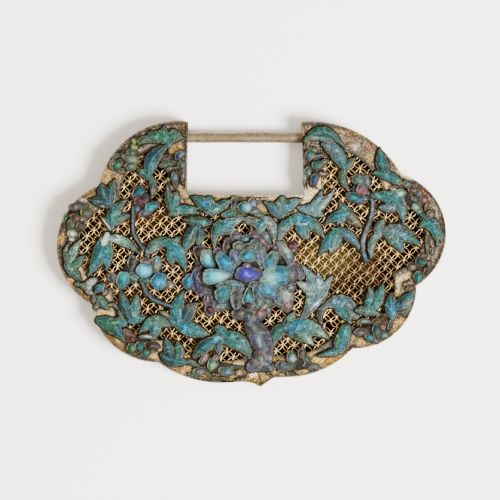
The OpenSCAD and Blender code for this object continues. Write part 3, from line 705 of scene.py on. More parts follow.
# The closed line that runs inset inside the outline or the field: each lobe's arc where no other lobe,
# the tip or the notch covers it, in order, with the corners of the tip and of the notch's floor
def edgeLine(inset, isField):
    radii = lobes[:, 2] - inset - (border["width"] if isField else 0)
    grow = inset + (border["notchWidth"] if isField else 0)
    turn = np.radians(np.arange(0, 360, borderShape["step"]))
    runs = []
    for number, (cx, cy, _) in enumerate(lobes):
        x, y = cx + radii[number] * np.cos(turn), cy + radii[number] * np.sin(turn)
        others = [np.hypot(x - ox, y - oy) - radii[k] for k, (ox, oy, _) in enumerate(lobes) if k != number]
        shown = (np.min(others, axis=0) > 0) & (notchDistance(x, y, grow) < 0)
        if not isField:
            shown &= polygonDistance(x, y, tip + [0, inset]) > 0
        first = np.nonzero(shown & ~np.roll(shown, 1))[0][0]
        order = np.roll(np.arange(len(turn)), -first)
        order = order[shown[order]]
        runs.append(np.stack([x[order], y[order]], axis=1))
        if number == tipLobe and not isField:
            runs.append(tip[1:-1] + [0, inset])
    floor = notch["floor"] - grow
    runs.append(np.array([[notch["right"] + grow, floor], [notch["left"] - grow, floor]]))
    return np.concatenate(runs)


# A wire along a closed line: an oval section, half width by half height, at every point of the line
def edgeWire(line, z, halfWidth, halfHeight, sides=6):
    ahead = np.roll(line, -1, axis=0) - np.roll(line, 1, axis=0)
    ahead /= np.linalg.norm(ahead, axis=1)[:, None]
    side = np.stack([-ahead[:, 1], ahead[:, 0]], axis=1)
    turn = 2 * np.pi * np.arange(sides) / sides
    flat = line[:, None] + side[:, None] * (halfWidth * np.cos(turn))[None, :, None]
    level = np.broadcast_to(z + halfHeight * np.sin(turn), flat.shape[:2])
    points = np.concatenate([flat, level[..., None]], axis=2)
    index = np.arange(len(line) * sides).reshape(len(line), sides)
    around, onward = np.roll(index, -1, axis=1), np.roll(index, -1, axis=0)
    quads = np.stack([index, around, np.roll(onward, -1, axis=1), onward], axis=-1)
    return points.reshape(-1, 3), quads.reshape(-1, 4)


borderShape = {
    "cell": 0.3, "room": 1, "dent": 0.05, "lipInset": 0.36, "lipHalf": 0.24, "fineInset": 1.25,
    "fineHalf": 0.15, "fineRise": 0.15, "innerOut": 0.28, "innerHalf": 0.2, "innerRise": 0.2, "farthest": 3,
    "patchShare": 0.4, "step": 0.7, "seamDepth": 2, "seamEdge": (-0.08, 0.16),
    "foot": {"wall": 0, "width": 0, "height": 0.1},
}
# The border's tones, as screen hex codes: its gilding's, and white for painted highlights
goldTones = {
    "cream": "fff0b4", "amber": "e8c070", "pale": "dec688", "gold": "bea062", "rich": "aa843c",
    "dusty": "8c7448", "olive": "a08c50", "stone": "827462", "grey": "7e806a", "rose": "986e5c",
    "umber": "64543c", "dull": "54584a", "white": "f0f0e4",
}
# Patches of its gilding, with painted highlights among them (the white ones and the cream one at the tip):
# start x, y; end x, y; half width; tone
goldRows = [
    [-43.7, 22, -43.3, 24.9, 1.3, "gold"], [-43.2, 22.6, -42, 21.6, 0.6, "amber"],
    [-49.6, 17.3, -47.4, 17.9, 1, "dusty"], [-49, 16.6, -48, 17, 0.5, "gold"],
    # The white patch on the next line is a painted highlight on the border's edge
    [-51, 16.2, -49.9, 16.3, 0.3, "white"], [-21.8, 37.4, -20.4, 37.6, 0.8, "umber"],
    [-40, 31.6, -36, 34.6, 0.4, "umber"], [27.4, 34.8, 33.6, 34.2, 1.5, "stone"],
    [29.6, 36.4, 32.6, 35.8, 0.8, "olive"], [32.4, 31.6, 33.8, 33, 1, "stone"],
    # The white patch on the next line is a painted highlight
    [31.6, 31.8, 32.4, 32.4, 0.6, "white"], [30.6, 33, 30.6, 33, 0.5, "pale"],
    [27.6, 36, 28.2, 35, 0.4, "pale"], [26.2, 37, 26.8, 36.4, 0.5, "olive"],
    [29, 37.2, 29.2, 36.8, 0.5, "rose"],
    [41.4, 28.2, 43, 25, 0.8, "stone"], [42.4, 26, 43, 25, 0.5, "pale"],
    [43, 25, 47, 22.8, 0.8, "pale"], [54.4, 15.6, 56.2, 11.6, 0.7, "grey"],
    [51.4, 19, 53.4, 16.6, 0.6, "rose"], [55, 0.4, 56.4, 5, 0.9, "grey"],
    [53.6, -3.4, 54.6, -0.6, 0.9, "stone"], [53.6, 6.8, 53.2, 2.6, 0.5, "dull"],
    [-56.6, 7.6, -55.6, 10.4, 0.6, "dull"], [-55.4, -3.6, -56.4, 1.8, 0.5, "dull"],
    [-50.6, -11.6, -47.8, -14.2, 0.8, "dusty"], [-57.2, -2, -56, -5.6, 0.5, "umber"],
    [-57.2, 3.4, -56.9, 5.8, 0.5, "amber"], [-32.4, 31.4, -30.6, 32.2, 0.7, "stone"],
    [-28.8, 33.1, -26.8, 33, 0.5, "umber"], [-21.5, 19.6, -16.7, 14.7, 0.8, "pale"],
    [-14.9, 12.7, -14.6, 12.7, 1, "pale"], [-9.9, 16.9, -8.1, 16.9, 0.7, "gold"],
    [-7.8, 13.9, -7.2, 13.9, 0.6, "dusty"], [2.5, 14, 5.4, 12.2, 0.5, "pale"],
    [4.7, 17, 7.5, 17, 0.75, "pale"], [14.5, 17.8, 19.3, 18.2, 1.4, "cream"],
    [16.2, 16.2, 17.8, 17, 1.5, "cream"], [10.8, 17.2, 15, 17.2, 0.6, "pale"],
    [20.9, 20.6, 20.9, 21.4, 1.3, "cream"], [39.5, 20, 40.3, 20, 1.2, "pale"],
    [35.7, 29.3, 35.7, 29.3, 0.9, "gold"], [35, 32.2, 36.2, 32.2, 1, "rose"],
    [-54.4, -8.2, -53.2, -8.8, 1.3, "amber"], [-24.4, 30.6, -21.6, 32.2, 0.9, "gold"],
    [-51.5, -4.3, -49.9, -7.8, 0.6, "pale"], [-46.4, -18, -42.2, -17.8, 0.95, "pale"],
    [-43, -12.9, -42.5, -13.1, 0.85, "pale"], [-42.5, -25.4, -38.4, -28.7, 1.1, "dusty"],
    [-40.6, -26, -39, -28, 0.6, "pale"], [-29.8, -30.5, -28.3, -30.7, 0.8, "pale"],
    [-28.6, -25.9, -27, -26.2, 0.7, "cream"], [-27, -26.2, -26.6, -29, 0.9, "cream"],
    [-21.4, -28.9, -18.2, -31.3, 0.7, "gold"], [-22.8, -34.7, -19, -34, 0.8, "gold"],
    [-20.6, -35.2, -19.2, -34.6, 0.9, "amber"], [-15, -36.6, -13, -36.2, 0.9, "dusty"],
    [-7.8, -32.8, -3.8, -32.7, 0.9, "pale"], [-7, -37.2, -5.6, -37, 0.6, "gold"],
    # The cream patch on the next line is a painted highlight on the tip's gold dome
    [-1.2, -37.7, 1.2, -37.6, 0.9, "gold"], [0.1, -37, 0.7, -35.8, 0.9, "cream"],
    [3.6, -37.4, 6, -36.8, 0.7, "gold"], [6, -33.9, 7.2, -35.4, 0.55, "pale"],
    [7.5, -35.6, 9.5, -36.2, 0.7, "gold"], [7.3, -31.6, 9.5, -31.7, 0.6, "rich"],
    [14.6, -34.8, 16.4, -34.8, 0.95, "amber"], [17, -29.9, 19, -29.7, 0.6, "gold"],
    [19.6, -31.9, 21.6, -32.1, 1, "amber"], [22.2, -32.2, 26, -31.4, 1.2, "rich"],
    [26, -31, 28.8, -29.9, 0.8, "gold"], [20.5, -33.9, 24, -33.4, 0.4, "gold"],
    [32.4, -26.5, 33.8, -26.8, 0.9, "gold"], [34.5, -27.3, 36.2, -27.4, 0.45, "gold"],
    [29.3, -23.2, 29.5, -24.2, 0.4, "dusty"], [29.6, -25, 30.3, -25.2, 0.6, "gold"],
    [43.6, -18.8, 46.4, -18.2, 0.8, "umber"], [43.2, -20.4, 45, -20.4, 1.2, "gold"],
    [42.4, -22.8, 43.4, -21.9, 0.7, "gold"], [43.8, -11.6, 43.8, -7.8, 0.7, "pale"],
    [44.2, -7.6, 46.8, -6.6, 0.8, "pale"], [45.8, -9, 47.4, -7.8, 0.9, "umber"],
    [57.4, 0.5, 57.6, 5.5, 0.4, "stone"], [53.6, 10.6, 54.6, 12.6, 0.5, "umber"],
    [24, 33.1, 21, 34.4, 0.4, "stone"], [-19.8, 36.5, -19.6, 37.8, 0.5, "umber"],
]


# Dark seams and engraved lines on the border: start x, y; end x, y; half width
seamRows = [
    [2.0, -35.2, 2.3, -37.2, 0.22], [2.3, -37.2, 2.9, -39.2, 0.18], [-1.9, -36.8, -1.2, -35.3, 0.2],
    [-1.2, -35.3, 0.4, -34.6, 0.2], [3.2, -35.4, 4.8, -34.9, 0.15], [4.8, -34.9, 6, -35.8, 0.15],
    [18.6, -30.4, 23.2, -28, 0.3], [23.2, -28, 24.6, -26.2, 0.25], [-3.2, -37.2, -2.2, -36.2, 0.2],
    [9.6, 16.2, 14.4, 16.6, 0.15], [14.4, 16.6, 19.2, 15.2, 0.12], [44.2, -12.4, 45.2, -8.6, 0.12],
    [45.2, -8.6, 48, -7.2, 0.12], [-44.8, -19, -40.6, -18.9, 0.15], [-29.6, -29.4, -28.2, -29.2, 0.15],
    [-44.6, 21, -42.2, 20.8, 0.15], [37.2, 30.6, 38, 27.2, 0.2], [50.2, 20.6, 54, 17.4, 0.12],
    [53, 9, 53.6, 6.2, 0.15], [-55.4, 4.6, -56.2, 0, 0.15], [-36.4, 30.6, -31.8, 33.4, 0.18],
]


# How far each spot lies outside each row's stroke, below 0 within its half width
def strokeReach(x, y, rows):
    return np.array([strokeDistance(x, y, row[0:2], row[2:4]) - row[4] for row in rows])


# How dark a seam makes each spot: one along its stroke, falling to nothing a little way out
def seamShare(x, y):
    return 1 - smooth(strokeReach(x, y, seamRows).min(axis=0), *borderShape["seamEdge"])


# The border: a flat band between the outline and the pierced field, a little uneven, with the raised
# line and the fine line along its outside and a lit wire along the field
def makeBorder():
    shape = borderShape

    def distance(x, y):
        return np.maximum(outerDistance(x, y), -fieldDistance(x, y))

    def height(x, y):
        waves = np.sin(0.9 * x + 0.4 * y) * np.sin(1.1 * y - 0.3 * x)
        return border["top"] + shape["dent"] * (waves - shape["seamDepth"] * seamShare(x, y))

    low = (lobes[:, :2] - lobes[:, 2:]).min(axis=0) - shape["room"]
    high = (lobes[:, :2] + lobes[:, 2:]).max(axis=0) + shape["room"]
    points, quads, zone = sheetOver(distance, height, low, high, shape["cell"], border["z"], shape["foot"])
    parts, faces, start = [points], [quads], len(points)
    for inset, isField, half, rise in (
            (shape["lipInset"], False, shape["lipHalf"], border["lip"] - border["top"]),
            (shape["fineInset"], False, shape["fineHalf"], shape["fineRise"]),
            (-shape["innerOut"], True, shape["innerHalf"], shape["innerRise"])):
        more, moreQuads = edgeWire(edgeLine(inset, isField), border["top"], half, rise)
        parts.append(more)
        faces.append(moreQuads + start)
        start += len(more)
    points = np.concatenate(parts)
    x, y = points[:, 0], points[:, 1]
    reach = strokeReach(x, y, goldRows)
    nearest = np.argmin(reach, axis=0)
    fromPatch = np.clip(reach.min(axis=0), -shape["farthest"], shape["farthest"])
    wear = np.stack([fromPatch, -outerDistance(x, y), fieldDistance(x, y)], axis=1)
    patchTint = np.array([paint(goldTones[row[5]], shape["patchShare"]) for row in goldRows])[nearest]
    patchTint[:, 3] = seamShare(x, y)
    makePiece("front_border", points, np.concatenate(faces), noTriangles, borderGilt,
              {"wear": wear, "patchTint": patchTint})
    print("border:", len(points), "points")


makeBorder()


# A leaf's sizes in millimetres. rimFrom, rimTo, rimShadeAt (where the painted shadow line inside the rim
# lies) and innerTo are in rim widths. The foot is the flare that is painted near-black as a shadow outline.
leafShape = {
    "cell": 0.16, "stations": 15, "leastHalf": 0.1, "room": 2.6, "edge": 0.45, "rise": 0.5, "wobble": 0.11,
    "rimWidth": 0.26, "rimRaise": 0.1, "rimFrom": 0.6, "rimTo": 1.3, "rimShadeAt": 1.9, "rimShadeHalf": 0.13,
    "rimShadeMark": 0.55, "innerTo": 2.2, "midribHalf": 0.14, "midribMark": 0.3, "veinRaise": 0.05,
    "veinShare": 0.4, "veinStep": 1.25, "veinSlant": 1.15, "veinHalf": 0.1, "veinMark": 0.06, "margin": 0.22,
    "marginEdge": (0.15, 0.6), "fade": (1.15, 1.05, 0.95), "leastDepth": 0.3, "tipBlend": (0.35, 0.85),
    "barbShift": 3.7, "foot": {"wall": 0.05, "width": 0.42, "height": 0.12},
}


# One blade's middle line is the parabola through its three points, and its half width is half its
# width times sin(15 to 180 degrees along it)
def bladePath(row):
    a, b, c = np.array(row[0:2]), np.array(row[2:4]), np.array(row[4:6])
    t = np.linspace(0, 1, leafShape["stations"])
    q = 2 * b - (a + c) / 2
    path = np.outer((1 - t) ** 2, a) + np.outer(2 * t * (1 - t), q) + np.outer(t * t, c)
    half = np.maximum(leafShape["leastHalf"], row[6] / 2 * np.sin(np.radians(15 + 165 * t)))
    return path, half


# Small waves that keep a hand-cut edge from being perfect: a product of sines in x and y
def wobble(x, y):
    return leafShape["wobble"] * (np.sin(2.3 * x + 1.1 * y) * np.sin(1.7 * y - 0.6 * x)
                                  + 0.5 * np.sin(5.1 * x) * np.sin(4.3 * y))


# What a sheet's mesh carries: the given values on its top, and on its wall and underside the foot colour, a
# near-black painted shadow outline
def channelsFor(zone, tint, rimTint, marks, barbs):
    count = len(zone)
    full = {"tint": np.tile(paint("foot"), (count, 1)), "rimTint": np.tile(paint("foot"), (count, 1)),
            "marks": np.zeros((count, 3)), "barbs": np.zeros((count, 3))}
    shown = zone == 0
    full["tint"][shown] = tint
    full["rimTint"][shown] = rimTint
    full["marks"][shown] = marks
    full["barbs"][shown] = barbs
    return full


# A stain is full within this share of its half width and ends this far outside it, in millimetres
stainEdge = {"full": 0.5, "past": 0.3}
# Spots and strokes of another colour in the inlay: start x, y; end x, y; half width; tint; strength
stainRows = [
    [-44.2, 3.2, -43.2, 5.9, 0.8, "white", 1], [-42.8, 4.8, -41.6, 4.6, 0.6, "silver", 0.8],
    [-41.8, 4.7, -39.2, 4.7, 0.75, "silver", 0.6],
    [-45.3, 11, -43, 8.3, 0.25, "white", 0.9], [-43, 8.3, -42, 7, 0.25, "white", 0.9],
    [-42, 7, -39.6, 5, 0.25, "white", 0.9], [-45, 13.8, -44.6, 14, 0.5, "white", 0.9],
    # The two strokes on the next line are a painted highlight: the lit inner edge of the border, laid on this
    # leaf's edge
    [-40.9, 21.8, -40.4, 18, 0.22, "pink", 0.8], [-40.4, 18, -41, 15.5, 0.22, "roseWhite", 0.8],
    [-11.3, 15.7, -10.2, 14.7, 0.15, "white", 0.3], [-11.9, 12.7, -10.2, 13.7, 0.15, "white", 0.3],
    [-10.2, 13.4, -6.8, 16, 0.22, "silver", 0.2], [-13.8, 15, -13.8, 15, 1.0, "blue", 0.55],
    [-17.7, 6.7, -18.4, 4.7, 0.15, "white", 0.3], [-19, 4.6, -19.6, 1.6, 0.5, "greyBlue", 0.5],
    [-16.6, 9.4, -14.4, 9.2, 0.6, "brightTeal", 0.6],
    [4.4, 9.6, 5.6, 9, 0.45, "white", 0.42], [5.4, 8.6, 6.5, 6.4, 0.3, "silver", 0.42],
    [-9.6, 6.9, -7, 6.9, 0.3, "silver", 0.15], [-11, 4, -10.9, 2, 0.38, "paleGreen", 0.36],
    [20.8, 13.6, 24, 17.6, 0.5, "silver", 0.75], [13, 15, 14, 15.6, 0.5, "paleBlue", 0.8],
    [13.6, 9, 16.4, 8.8, 0.12, "white", 0.42], [8.6, 4.6, 11.4, 7.8, 0.17, "silver", 0.48],
    [24.2, 8.2, 21.6, 9.4, 0.6, "greyTeal", 0.5], [26.2, 13, 27.8, 11.6, 0.9, "azure", 0.35],
    [29.8, 11.8, 32.3, 8.4, 0.38, "paleGreen", 0.36], [24.8, 2.4, 25.6, 5.4, 0.22, "silver", 0.36],
    [18.3, 34.9, 19.2, 34.8, 0.38, "white", 0.3], [18.3, 34, 18.4, 34, 0.35, "black", 0.9],
    [20.6, 36.1, 22.6, 36.2, 0.9, "deepTeal", 0.6], [-53.8, -0.4, -53.2, 1, 0.8, "greyTeal", 0.8],
    [12.9, -22.4, 13.8, -22, 1.0, "blue", 0.45], [19.2, -23.8, 22, -24.6, 0.45, "paleGreen", 0.45],
    [11, -20.6, 11, -22.8, 0.2, "black", 0.5], [16, -25.8, 18, -27.2, 0.38, "paleGreen", 0.3],
    [7, -27, 8.2, -25.8, 0.5, "green", 0.6], [17, -17.3, 20.8, -13.6, 0.15, "white", 0.48],
    [16.4, -18.8, 18, -16.6, 0.8, "slate", 0.8], [16.6, -13.4, 18.6, -9.6, 0.9, "paleCyan", 0.25],
    [20.2, -8, 20.6, -10.6, 0.6, "paleCyan", 0.36], [15, -9.6, 16.4, -10.4, 0.38, "white", 0.36],
    [26, -26.2, 26.2, -26.6, 0.8, "green", 0.7], [26.2, -28, 27, -28, 0.6, "blue", 0.7],
    [25.4, -24.2, 25.8, -24.8, 0.38, "paleCyan", 0.36], [-9.6, -27.6, -9.2, -28.4, 0.6, "mauve", 0.3],
    [-9.6, -24.8, -8.8, -24.8, 0.5, "mauve", 0.5], [-14, -28, -13, -27.6, 0.6, "azure", 0.6],
    [-11, -25.4, -10.4, -25.6, 0.9, "cyan", 0.6], [-7.8, -25.8, -7.7, -25.8, 0.2, "black", 1],
    [-6.9, -25.4, -6.8, -25.4, 0.22, "black", 1], [-20, -22.7, -19, -22.8, 0.8, "azure", 0.9],
    [-21.8, -20.6, -21, -20.2, 0.5, "green", 0.7], [-19.6, -18.2, -19.2, -19.4, 0.9, "deepTeal", 0.7],
    [-21.5, -16.6, -21, -20, 0.14, "silver", 0.48], [-22.4, -21.4, -21.8, -21, 0.5, "brightTeal", 0.8],
    [-37.8, -14.6, -37.4, -16, 0.8, "blueTeal", 0.6], [-35.9, -14.8, -35.7, -18.2, 0.15, "paleCyan", 0.3],
    [-35.7, -18.2, -34, -19, 0.19, "paleCyan", 0.54], [-41.2, -22.2, -40.4, -22.9, 0.8, "deepTeal", 0.7],
    [-41.9, -20.6, -41.2, -20.6, 0.3, "silver", 0.36], [-40.2, -22.4, -39.8, -23.8, 0.4, "azure", 0.4],
    [-24.2, -26, -23.9, -26, 0.6, "orange", 0.8], [-22.6, -28, -22.3, -31.4, 0.2, "green", 0.7],
    [-24.6, -28.6, -24.4, -29, 0.6, "deepTeal", 0.7], [0.7, -24.6, 1.3, -25.2, 0.9, "violet", 0.35],
    [1.6, -25, 3.4, -28.5, 1.3, "greyLavender", 0.5],
    [3, -26.6, 4.4, -29.2, 0.6, "navy", 0.6], [2.2, -24.6, 2.6, -27.6, 0.17, "silver", 0.3],
    [2.4, -29.6, 3.6, -29.6, 0.4, "rose", 0.5], [4.4, -30.6, 5.2, -31.2, 0.5, "rose", 0.6],
    [1.6, -32.4, 2.6, -33.4, 0.5, "rose", 0.5], [-1, -31.8, -0.6, -33.4, 0.5, "mauve", 0.6],
    [2.8, -31.2, 3, -32, 0.4, "lightGreen", 0.6], [5.6, -32, 6, -31.2, 0.3, "lightGreen", 0.7],
    [36.6, -12, 37.6, -15.8, 0.15, "paleGreen", 0.3], [46.4, -14.9, 48.2, -14.3, 0.5, "greyBrown", 0.8],
    [44.6, -13.8, 44.8, -15.8, 0.16, "black", 0.5], [-46.8, -1, -47.6, -4, 0.5, "brightTeal", 0.4],
    [38.4, 28, 39.4, 27, 0.8, "brightTeal", 0.6], [43.2, 13, 44.4, 11.6, 0.6, "blue", 0.2],
]


# The inlay's tint at each spot after all its stains: each takes over near its stroke, the more so the
# closer, with its strength as the most
def stained(x, y, tint):
    for row in stainRows:
        away = strokeDistance(x, y, row[0:2], row[2:4])
        edge = 1 - smooth(away, stainEdge["full"] * row[4], row[4] + stainEdge["past"])
        share = (row[6] * edge)[:, None]
        tint = tint * (1 - share) + share * np.array(paint(row[5]))
    return tint


# A leaf: a sheet over its blades that swells from a raised rim to a soft ridge on each blade's middle
# line, rise (half width / widest) (1 - (1 - depth / half width) squared), with a fine raised vein there
# and slanting ones. A blade's tint passes to its tip's and fades a little towards its margin.
def makeLeaf(row):
    nodeName, seatNumber, rimName, blades = row
    seat = seats[seatNumber]
    shape = leafShape
    made = [bladePath(blade) for blade in blades]
    paths, halves = [m[0] for m in made], [m[1] for m in made]
    lengths = np.array([np.linalg.norm(np.diff(path, axis=0), axis=1).sum() for path in paths])
    widest = max(h.max() for h in halves)
    corner = np.concatenate(paths)
    low, high = corner.min(axis=0) - shape["room"], corner.max(axis=0) + shape["room"]

    def distance(x, y):
        return bladeField(x, y, paths, halves)[0] + wobble(x, y)

    def look(x, y):
        gap, along, across, half, number = bladeField(x, y, paths, halves)
        depth = np.maximum(0, -(gap + wobble(x, y)))
        rimWidth = shape["rimWidth"]
        rimMark = 1 - smooth(depth, rimWidth * shape["rimFrom"], rimWidth * shape["rimTo"])
        inner = smooth(depth, rimWidth, rimWidth * shape["innerTo"])
        # Painted shadow line just inside the rim; the height has no dip here
        rimShade = bell(depth - shape["rimShadeAt"] * rimWidth, shape["rimShadeHalf"])
        spine = bell(across, shape["midribHalf"]) * inner
        slant = along - shape["veinSlant"] * np.abs(across)
        beat = np.abs((slant / shape["veinStep"]) % 1 - 0.5) * shape["veinStep"]
        ribs = bell(beat, shape["veinHalf"]) * inner
        return depth, along, across, half, number, rimMark, rimShade, spine, ribs, slant

    def height(x, y):
        depth, along, across, half, number, rimMark, rimShade, spine, ribs, slant = look(x, y)
        share = np.clip(depth / np.maximum(half, shape["leastDepth"]), 0, 1)
        swell = shape["rise"] * half / widest * (1 - (1 - share) ** 2)
        lift = shape["rimRaise"] * bell(depth - 0.5 * shape["rimWidth"], 0.5 * shape["rimWidth"])
        return seat + shape["edge"] + swell + lift + shape["veinRaise"] * (spine + shape["veinShare"] * ribs)

    points, quads, zone = sheetOver(distance, height, low, high, shape["cell"], seat, shape["foot"])
    shown = zone == 0
    x, y = points[shown, 0], points[shown, 1]
    depth, along, across, half, number, rimMark, rimShade, spine, ribs, slant = look(x, y)
    near = np.array([paint(blade[7]) for blade in blades])[number]
    far = np.array([paint(blade[-1]) for blade in blades])[number]
    blend = smooth(along / lengths[number], *shape["tipBlend"])[:, None]
    tint = near * (1 - blend) + far * blend
    share = depth / np.maximum(half, shape["leastDepth"])
    margin = shape["margin"] * (1 - smooth(share, *shape["marginEdge"]))[:, None]
    faded = tint.copy()
    faded[:, :3] = shape["fade"] * tint[:, 1:3].mean(axis=1)[:, None]
    tint = stained(x, y, tint * (1 - margin) + faded * margin)
    veins = np.clip(shape["midribMark"] * spine + shape["veinMark"] * ribs, 0, 1)
    # The third mark is the painted shadow line inside the rim
    marks = np.stack([rimMark, veins, shape["rimShadeMark"] * rimShade], axis=1)
    barbs = np.stack([slant, across, number * shape["barbShift"] + len(nodeName)], axis=1)
    channels = channelsFor(zone, tint, np.tile(paint(rimName), (len(x), 1)), marks, barbs)
    makePiece(nodeName, points, quads, noTriangles, feather, channels)


